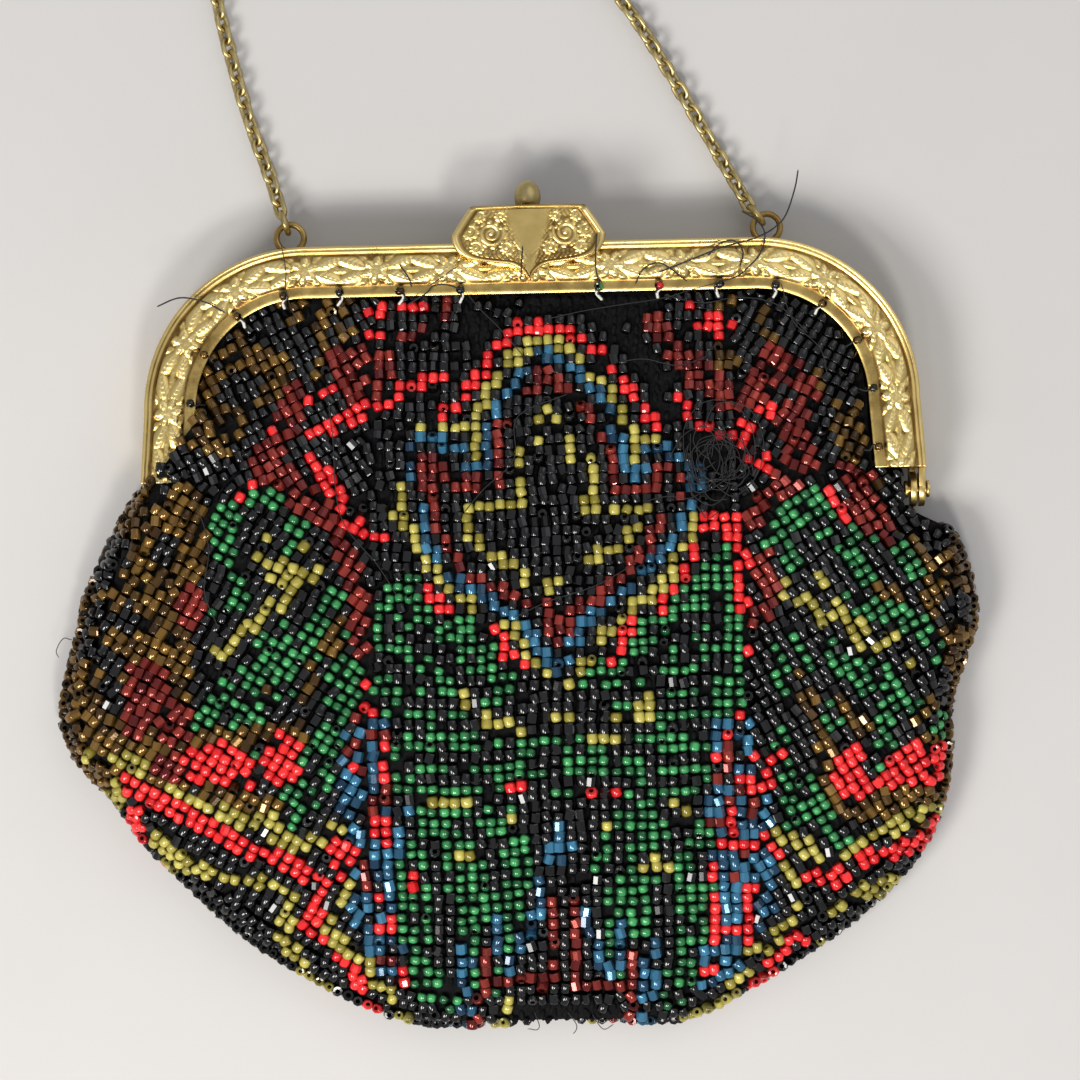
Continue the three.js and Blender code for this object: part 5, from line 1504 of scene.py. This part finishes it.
def clear_of_edges(x, y, rim):
    """Which places lie on the pouch, in from its edge rows and not far under the frame."""
    left = np.interp(y, row_y, front_left)
    right = np.interp(y, row_y, front_right)
    narrow = (np.abs(y - HINGE_Y) < HINGE_SPAN) | ((y > SLUMP_LOW_Y) & (x < SLUMP_RIGHT_X))
    margin = np.where(narrow, NARROW_MARGIN, MARGIN)
    on_pouch = (x > left + margin) & (x < right - margin) & (y < BEAD_TOP_Y) & (y > BEAD_FOOT_Y)
    under_frame = (y > ON_LEG_Y) & (arch_inset(x, y) < UNDER_FRAME)
    over_frame = inside(x, y, SLUMP_AREA)
    return on_pouch & (edge_distance(x, y) > rim) & (~under_frame | over_frame)


def spread(groups):
    """The beads of the groups in turn, without those that would run into one taken before."""
    cells = {}
    beside = [(a, b, c) for a in (-1, 0, 1) for b in (-1, 0, 1) for c in (-1, 0, 1)]
    taken = [[], [], [], []]
    for places, normals, runs, size in groups:
        gap = NEAREST_BEAD * (0.5 + size / 2)
        for place, normal, run in zip(places, normals, runs):
            seat = place - normal * BEAD_RADIUS * size
            cell = tuple(np.floor(seat / NEAREST_BEAD).astype(int))
            near = [cells.get((cell[0] + a, cell[1] + b, cell[2] + c), ()) for a, b, c in beside]
            if any(np.sum((seat - other) ** 2) < gap ** 2 for group in near for other in group):
                continue
            cells.setdefault(cell, []).append(seat)
            for store, value in zip(taken, (seat, normal, run, size)):
                store.append(value)
    return [np.array(store) for store in taken]


EDGE_PASSES = 2
EDGE_FRONT_Z = 5.0
EDGE_BACK_Z = 2.2
EDGE_REACH = 3.6
FILL_REACH = 2.4
WAIST_Y = -3
SHOULDER_Y = 24
SHOULDER_RISE = 0.1
BACK_SIZE = 1.08
near_edge_front = np.nan_to_num(blurred(front_raw, EDGE_PASSES), nan=EDGE_FRONT_Z)
near_edge_front = np.where(slump_cells, front_map, near_edge_front)
near_edge_back = np.nan_to_num(blurred(back_raw, EDGE_PASSES), nan=EDGE_BACK_Z)


def left_seam(y):
    return -27 + 0.04 * y


def right_seam(y):
    return 33 - 0.03 * y


def middle_panel(x, y, upper):
    between = (x > left_seam(y)) & (x < right_seam(y))
    return clear_of_edges(x, y, EDGE_REACH) & between & ((y > WAIST_Y) == upper)


def side_panel(x, y, side, upper):
    outer = x < left_seam(y) if side < 0 else x > right_seam(y)
    above = y >= SHOULDER_Y + SHOULDER_RISE * np.abs(x)
    return clear_of_edges(x, y, EDGE_REACH) & outer & (above == upper)


def back_panel(x, y):
    return clear_of_edges(x, y, FILL_REACH) & ~inside(x, y, SLUMP_AREA)


def on_front(angle, middle, size, allowed):
    return panel_beads(front_map, front_slope, 1, math.radians(angle), middle, size, allowed)


# The rows run up the middle and slant in from the sides. The last panel fills the gaps between the others
front_groups = [
    edge_beads(near_edge_front, 1, range(EDGE_ROWS)),
    on_front(90, (3.0, -30.0), 1.05, lambda x, y: middle_panel(x, y, False)),
    on_front(90, (3.0, 30.0), 0.97, lambda x, y: middle_panel(x, y, True)),
    on_front(58, (-29, -2), SIDE_SIZE, lambda x, y: side_panel(x, y, -1, False)),
    on_front(120, (35, -2), SIDE_SIZE, lambda x, y: side_panel(x, y, 1, False)),
    on_front(117, (-29, 40), 0.98, lambda x, y: side_panel(x, y, -1, True)),
    on_front(62, (35, 40), 0.98, lambda x, y: side_panel(x, y, 1, True)),
    on_front(90, (0, 0), SIDE_SIZE, lambda x, y: clear_of_edges(x, y, FILL_REACH)),
]
back_groups = [
    edge_beads(near_edge_back, -1, range(1, 3)),
    panel_beads(back_map, back_slope, -1, 0.0, (3.0, 0.0), BACK_SIZE, back_panel),
]


WIDEST = 0.86
END_SHADE = 0.55


def bead_shape(profile, sides, depth):
    """A bead about the X axis: its points and quads, which quads are rounded and how lit each point is, as
    painted shade darker at its sides and ends.
    """
    turn = np.linspace(0, 2 * math.pi, sides, endpoint=False) + math.pi / sides
    points = [[(a, r * math.cos(t), r * math.sin(t)) for t in turn] for a, r in profile]
    points = np.array(points).reshape(-1, 3)
    quads = ring_quads(len(profile), sides, closed_rows=True)[:, ::-1]
    middle = len(profile) // 2 - 1
    rounded = np.repeat([abs(ring - middle) < 1.5 for ring in range(len(profile))], sides)
    lit = np.clip(1 - depth * (1 - points[:, 2] / WIDEST), 0.1, 1)
    end_lit = 1 - END_SHADE * depth
    ring_lit = [1.0 if ring in (middle, middle + 1) else end_lit for ring in range(len(profile))]
    return points, quads, rounded, lit * np.repeat(ring_lit, sides)


CUT_BEAD = bead_shape(
    [(-0.79, 0.40), (-0.81, 0.78), (-0.66, 0.89), (0.66, 0.89), (0.81, 0.78), (0.79, 0.40)], 8, 0.5)
ROUND_BEAD = bead_shape(
    [(-0.66, 0.32), (-0.76, 0.56), (-0.38, 0.86), (0.38, 0.86), (0.76, 0.56), (0.66, 0.32)], 8, 1.25)
BLUNT_BEAD = bead_shape(
    [(-0.76, 0.34), (-0.82, 0.66), (-0.48, 0.87), (0.48, 0.87), (0.82, 0.66), (0.76, 0.34)], 8, 0.4)
PLAIN_BEAD = bead_shape([(-0.70, 0.34), (-0.62, 0.80), (0.62, 0.80), (0.70, 0.34)], 6, 0.45)
BARE_STITCH = bead_shape([(-0.95, 0.10), (-0.62, 0.34), (0.0, 0.46), (0.62, 0.34), (0.95, 0.10)], 6, 0.3)


TURNED_SHARE = 0.05
TURNED_LEAN = 1.3
ROW_LEAN = 0.17
FACE_LEAN = 0.09
SPIN = 0.52
LENGTH_SPREAD = 0.07
WIDTH_SPREAD = 0.04
STITCH_SINK = 0.45


def bead_piece(name, shape, faceted, seats, normals, runs, sizes, look):
    """One mesh of beads at their seats, each a little off size and out of line, some turned on end."""
    count = len(seats)
    across = np.cross(normals, runs)
    across /= np.linalg.norm(across, axis=1)[:, None]
    axis = np.cross(across, normals)
    turned = bead_chance.random(count) < TURNED_SHARE
    on_end = np.where(turned, bead_chance.choice((-TURNED_LEAN, TURNED_LEAN), count), 0)
    axis = axis + across * bead_chance.normal(0, ROW_LEAN, (count, 1))
    axis = axis + normals * (bead_chance.normal(0, FACE_LEAN, count) + on_end)[:, None]
    axis /= np.linalg.norm(axis, axis=1)[:, None]
    across = np.cross(normals, axis)
    across /= np.linalg.norm(across, axis=1)[:, None]
    up = np.cross(axis, across)
    spin = bead_chance.uniform(-SPIN, SPIN, count)[:, None]
    across, up = across * np.cos(spin) + up * np.sin(spin), up * np.cos(spin) - across * np.sin(spin)
    points, quads, rounded, lit = shape
    long = (sizes * bead_chance.normal(1.0, LENGTH_SPREAD, count))[:, None, None]
    wide = (sizes * bead_chance.normal(1.0, WIDTH_SPREAD, count))[:, None, None]
    placed = points[None, :, 0:1] * axis[:, None] * long
    placed = placed + points[None, :, 1:2] * across[:, None] * wide
    placed = placed + points[None, :, 2:3] * up[:, None] * wide
    placed = placed + seats[:, None]
    faces = quads[None] + (np.arange(count) * len(points))[:, None, None]
    piece = mesh_from_quads(name, placed.reshape(-1, 3) * MM, faces.reshape(-1, 4))
    smooth = rounded[None, :] & (bead_chance.random((count, 1)) > faceted)
    piece.data.polygons.foreach_set("use_smooth", smooth.ravel())
    set_attribute(piece, "lit", np.tile(lit, count))
    set_attribute(piece, "tone", np.repeat(bead_chance.random(count), len(points)))
    piece.data.materials.append(look)
    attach(piece, "bag")
    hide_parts("pouch")
    return piece


def linear(colour):
    """A colour as it looks on a screen, in the linear values that light adds up in."""
    return tuple(((c + 0.055) / 1.055) ** 2.4 if c > 0.04045 else c / 12.92 for c in colour)


def glass(name, dark, light, clear, lustre):
    """Glass cane: a glossy skin over colour that differs from bead to bead, darkened by painted shade
    towards each bead's sides and ends, clear or with some lustre.
    """
    material, tree, surface = shader(f"glass_{name}", lustre, 0.13)
    tone = add_node(tree, "ShaderNodeAttribute", attribute_name="tone")
    lit = add_node(tree, "ShaderNodeAttribute", attribute_name="lit")
    shaded = add_node(tree, "ShaderNodeVectorMath", operation="SCALE")
    tinted = ramp(tree, tone.outputs["Fac"], [(0.0, linear(dark)), (1.0, linear(light))])
    tree.links.new(tinted, shaded.inputs[0])
    # Painted shade: the lit attribute darkens the colour towards each bead's sides and ends
    tree.links.new(lit.outputs["Fac"], shaded.inputs["Scale"])
    tree.links.new(shaded.outputs["Vector"], surface.inputs["Base Color"])
    surface.inputs["IOR"].default_value = 1.52
    surface.inputs["Specular IOR Level"].default_value = 0.5
    surface.inputs["Transmission Weight"].default_value = clear
    return material


GLASS = {
    "jet": glass("jet", (0.008, 0.008, 0.009), (0.055, 0.055, 0.058), 0.0, 0.0),
    "topaz": glass("topaz", (0.22, 0.14, 0.035), (0.55, 0.41, 0.17), 0.3, 0.4),
    "green": glass("green", (0.05, 0.34, 0.17), (0.28, 0.7, 0.4), 0.25, 0.0),
    "red": glass("red", (0.76, 0.07, 0.09), (0.96, 0.19, 0.19), 0.0, 0.0),
    "garnet": glass("garnet", (0.32, 0.06, 0.06), (0.62, 0.22, 0.18), 0.2, 0.4),
    "yellow": glass("yellow", (0.54, 0.49, 0.14), (0.84, 0.79, 0.38), 0.3, 0.0),
    "blue": glass("blue", (0.05, 0.17, 0.27), (0.26, 0.52, 0.66), 0.25, 0.2),
}
SHAPES = {
    "jet": (CUT_BEAD, 0.22),
    "topaz": (CUT_BEAD, 0.3),
    "green": (ROUND_BEAD, 0.0),
    "red": (BLUNT_BEAD, 0.1),
    "garnet": (CUT_BEAD, 0.4),
    "yellow": (BLUNT_BEAD, 0.0),
    "blue": (CUT_BEAD, 0.4),
}
for face, groups, mirror in (("front", front_groups, 1), ("back", back_groups, -1)):
    seats, normals, runs, sizes = spread(groups)
    chart_x = mirror * seats[:, 0] - CHART_TURN * seats[:, 1]
    chart_y = seats[:, 1] + CHART_TURN * mirror * seats[:, 0]
    shades = knitted_shades(chart_x, chart_y)
    kept = bead_chance.random(len(seats)) < kept_share(chart_x, chart_y)
    for code, shade in enumerate(SHADES):
        chosen = kept & (shades == code)
        shape, faceted = SHAPES[shade] if face == "front" else (PLAIN_BEAD, 0.0)
        rows = (seats[chosen], normals[chosen], runs[chosen], sizes[chosen])
        bead_piece(f"beads_{face}_{shade}", shape, faceted, *rows, GLASS[shade])
    lost = (seats[~kept] - STITCH_SINK * normals[~kept], normals[~kept], runs[~kept], sizes[~kept])
    bead_piece(f"stitches_{face}", BARE_STITCH, 0.0, *lost, cloth_look)


# The sewing: beads sit on the holes of the flange, held by short stitches of pale and black cotton into the
# cloth's edge. The black thread has worn through in places, and its ends lie loose over frame and beads.
STITCH_RADIUS = 0.13
HAIR_RADIUS = 0.075
THREAD_SIDES = 5
THREAD_SEAL = 0.0005
PATH_STEP = 0.4
DRAPE_STEPS = 3
DRAPE_EASING = 5
LOOSE_LIFT = 0.25
PLATE_HALF = 12.4
PLATE_SPAN = (60.0, 72.6)
PLATE_TOP = 12.9
FRAME_TOP = 11.05
FRAME_OUTSIDE = 0.3
FRAME_INSIDE = 0.2
TABLE_TOP = 0.3
thread_chance = np.random.default_rng(7)


def top_level(x, y):
    """Height of what lies on top at each place: the plate, the frame, the pouch or the table."""
    inset = arch_inset(x, y)
    on_frame = (y > LEG_END_Y) & (inset > -FRAME_OUTSIDE) & (inset < BAND_WIDTH + FRAME_INSIDE)
    on_plate = (np.abs(x) < PLATE_HALF) & (y > PLATE_SPAN[0]) & (y < PLATE_SPAN[1])
    on_pouch = (x > np.interp(y, row_y, front_left)) & (x < np.interp(y, row_y, front_right))
    on_pouch &= (y > row_y.min()) & (y < row_y.max())
    level = np.where(on_pouch, sample(front_map, x, y), TABLE_TOP)
    level = np.where(on_frame & ~inside(x, y, SLUMP_AREA), FRAME_TOP, level)
    return np.where(on_plate, PLATE_TOP, level)


def laid_path(stops, lift, least):
    """A thread's path over what lies under it, from chart places."""
    chart = np.array([(x, y, 0) for x, y in stops], float)
    path = smooth_path(chart, PATH_STEP)
    x = path[:, 0] + CHART_TURN * path[:, 1]
    y = path[:, 1] - CHART_TURN * path[:, 0]
    level = np.maximum(top_level(x, y), least)
    padded = np.pad(level, DRAPE_STEPS, mode="edge")
    level = np.max([padded[k:k + len(level)] for k in range(2 * DRAPE_STEPS + 1)], axis=0)
    return np.stack([x, y, eased(level, DRAPE_EASING) + lift], axis=1)


def thread_mesh(paths):
    """Points and quads of thin round threads along the paths, drawn to a point at both ends."""
    points, quads, start = [], [], 0
    turn = np.linspace(0, 2 * math.pi, THREAD_SIDES, endpoint=False)
    for path, radius in paths:
        ahead = np.gradient(path, axis=0)
        ahead /= np.linalg.norm(ahead, axis=1)[:, None]
        side = np.cross(ahead, (0.13, 0.21, 0.97))
        side /= np.linalg.norm(side, axis=1)[:, None]
        up = np.cross(side, ahead)
        radii = np.full(len(path), radius)
        radii[[0, -1]] = 0
        ring = side[:, None] * np.cos(turn)[None, :, None] + up[:, None] * np.sin(turn)[None, :, None]
        points.append((path[:, None] + ring * radii[:, None, None]).reshape(-1, 3))
        quads.append(ring_quads(len(path), THREAD_SIDES)[:, ::-1] + start)
        start += len(path) * THREAD_SIDES
    return np.concatenate(points), np.concatenate(quads)


def thread_piece(name, paths, look):
    points, quads = thread_mesh(paths)
    piece = mesh_from_quads(name, points * MM, quads)
    seal(piece, THREAD_SEAL)
    piece.data.materials.append(look)
    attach(piece, "bag")
    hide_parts("pouch")
    return piece


def cotton(name, colour):
    material, _, surface = shader(name, 0.0, 0.8)
    surface.inputs["Base Color"].default_value = (*colour, 1)
    return material


# Loose ends over the right of the frame, over its left, over the medallion and at the edges: radius, least
# height and the places that each passes
LOOSE = [
    (STITCH_RADIUS, 10.5, (19, 61.6), (24.3, 63.7), (29.1, 65.6), (34.7, 67.2), (37.9, 69.1),
     (39.5, 71.2), (40.8, 75.2), (41.3, 78.1)),
    (STITCH_RADIUS, 10.5, (32.2, 71.5), (34.9, 69.8), (36, 67.5), (35.2, 64.6), (33.3, 62.4),
     (31.7, 61.1), (29.1, 60.2)),
    (HAIR_RADIUS, 0, (29.1, 60.2), (24.3, 58.9), (19.5, 57.6), (13.1, 56.6), (6.7, 55.5), (1, 54.2)),
    (STITCH_RADIUS, 0, (15.4, 59.7), (16.6, 62.1), (18.9, 63.2), (20.8, 62.4), (23.7, 60.2)),
    (STITCH_RADIUS, 0, (26.9, 64.3), (28.8, 66.2), (31, 66.7), (32.5, 65), (32, 62.4)),
    (STITCH_RADIUS, 0, (9.3, 67.8), (9.1, 62.7), (9.8, 59.5)),
    (STITCH_RADIUS, 0, (-2.4, 65.8), (-2.6, 62.7), (-2.7, 60.2)),
    (HAIR_RADIUS, 0, (-40.8, 66.5), (-40, 62.1), (-40, 59.2), (-39.4, 56.6), (-38.4, 54.1)),
    (STITCH_RADIUS, 0, (-22.1, 63), (-20.5, 60.8), (-20, 59.2)),
    (STITCH_RADIUS, 0, (-20.8, 56.6), (-17.9, 58.2), (-16.6, 59.5), (-14.4, 59.7), (-11.5, 58.6)),
    (HAIR_RADIUS, 0, (-11.5, 58.6), (-9.3, 56), (-6.1, 52.8), (-2, 48)),
    (HAIR_RADIUS, 0, (-17.3, 59.5), (-12.5, 62.6)),
    (STITCH_RADIUS, 10.4, (-60.6, 56.2), (-57, 57.6), (-53, 57), (-49.5, 55.2)),
    (HAIR_RADIUS, 0, (13.1, 47.5), (17, 47.9), (22.2, 46.9), (27, 48.4)),
    (HAIR_RADIUS, 0, (16.8, 25.3), (20.4, 26.1), (24.3, 25.9), (28, 28.6)),
    (HAIR_RADIUS, 0, (-33.5, 44), (-32.5, 35.2), (-31.2, 23), (-25.3, 15.2), (-22.1, 10.2)),
    (HAIR_RADIUS, 0, (4.8, 42.4), (-3.2, 38.7), (-3.8, 32), (-8.6, 27.2), (-11.7, 23.5)),
    (HAIR_RADIUS, 0, (15.7, 15.7), (9, 12), (1.8, 9.6), (-3.8, 7)),
    (HAIR_RADIUS, 0, (-54.5, 26), (-52.2, 18), (-52.8, 11), (-50.4, 5)),
    (HAIR_RADIUS, 3.0, (-74.2, 3.2), (-76.2, 3.4), (-77.4, 1.4), (-76.9, 0.2)),
    (HAIR_RADIUS, 1.5, (4.6, -56), (6.2, -58.4), (5.6, -60.2)),
    (HAIR_RADIUS, 1.5, (8.6, -56.4), (10.4, -59), (12.2, -58.2)),
    (HAIR_RADIUS, 1.5, (-0.6, -56), (0.2, -58.8), (-1.8, -59.6)),
    (HAIR_RADIUS, 0, (20, 58.2), (26, 56.9), (32, 57.8), (38, 56.6), (43, 52)),
    (HAIR_RADIUS, 0, (38.5, 60), (40.6, 54), (44.8, 49.6), (46, 45)),
]
black_paths = [(laid_path(stops, LOOSE_LIFT, least), radius) for radius, least, *stops in LOOSE]

# A tangle of thread over the bare cloth right of the medallion
TANGLE_LOOPS = 24
TANGLE_MIDDLE = (28.2, 31.2)
TANGLE_SPREAD = (1.8, 2.2)
TANGLE_NARROW = 0.85
LOOP_STOPS = 7
for _ in range(TANGLE_LOOPS):
    reach = thread_chance.uniform(1.8, 6.8)
    middle = thread_chance.normal(TANGLE_MIDDLE, TANGLE_SPREAD)
    angles = thread_chance.uniform(0, 6.28) + np.linspace(0, thread_chance.uniform(2.6, 6.0), LOOP_STOPS)
    reaches = reach * thread_chance.normal(1.0, 0.13, LOOP_STOPS)
    loop_x = middle[0] + TANGLE_NARROW * reaches * np.cos(angles)
    loop = list(zip(loop_x, middle[1] + reaches * np.sin(angles)))
    black_paths.append((laid_path(loop, thread_chance.uniform(0.15, 0.9), 0), HAIR_RADIUS))

# A stitch at each hole: pale thread from the bead over the flange's edge, black thread beside it
HOLE_BEADS = {
    -1: ("jet", "topaz", "jet", "topaz", "topaz", "topaz", "jet", "topaz"),
    1: ("green", "red", "jet", "jet", "topaz", "topaz", "jet", "topaz"),
}
LEFT_HOLES = 7
PALE_HOLES = 5
PALE_RADIUS = 0.17
PALE_END_RADIUS = 0.24
STITCH_STEP = 0.25
BLACK_ASIDE = 0.32
HOLE_BEAD_RISE = 0.62
HOLE_BEAD_SIZE = 0.78
# Along a stitch: inset from the frame's outer edge, and height
STITCH_SECTION = np.array([
    (SEWING_INSET, FLANGE_Z + 0.1), (SEWING_INSET + 0.45, FLANGE_Z + 0.55),
    (BAND_WIDTH + 0.25, FLANGE_Z + 0.25), (BAND_WIDTH + 1.3, FLANGE_Z - 0.75),
])
pale_paths = []
hole_seats = {}
for side, shades in HOLE_BEADS.items():
    for number, shade in enumerate(shades):
        along = side * (SEWING_FIRST + number * SEWING_PITCH)
        if side < 0 and number >= LEFT_HOLES:
            continue
        drift = thread_chance.uniform(-0.5, 0.5, 4)
        insets, z = STITCH_SECTION.T
        x, y = band_point(along + np.array([0, drift[0], drift[1], drift[2]]), insets)
        stitch = smooth_path(np.stack([x, y, z], axis=1), STITCH_STEP)
        if number < PALE_HOLES:
            pale_paths.append((stitch, PALE_RADIUS))
            pale_paths.append((stitch[len(stitch) // 2:] + (0.25 * drift[3], 0, 0.12), PALE_END_RADIUS))
        black_paths.append((stitch + (BLACK_ASIDE * np.sign(drift[3]), 0, 0), STITCH_RADIUS))
        seat = np.array([x[0], y[0], FLANGE_Z + HOLE_BEAD_RISE])
        hole_seats.setdefault(shade, []).append(seat)

black_cotton = cotton("black_thread", (0.012, 0.012, 0.013))
pale_cotton = cotton("pale_thread", (0.62, 0.60, 0.55))
thread_pieces = [
    thread_piece("threads_black", black_paths, black_cotton),
    thread_piece("threads_pale", pale_paths, pale_cotton),
]
for shade, seats in hole_seats.items():
    count = len(seats)
    leaning = thread_chance.normal((0, 0, 1), (0.4, 0.4, 0), (count, 3))
    leaning /= np.linalg.norm(leaning, axis=1)[:, None]
    runs = np.tile((1.0, 0.2, 0.0), (count, 1))
    rows = (np.array(seats), leaning, runs, np.full(count, HOLE_BEAD_SIZE))
    thread_pieces.append(bead_piece(f"sewing_beads_{shade}", ROUND_BEAD, 0.0, *rows, GLASS[shade]))
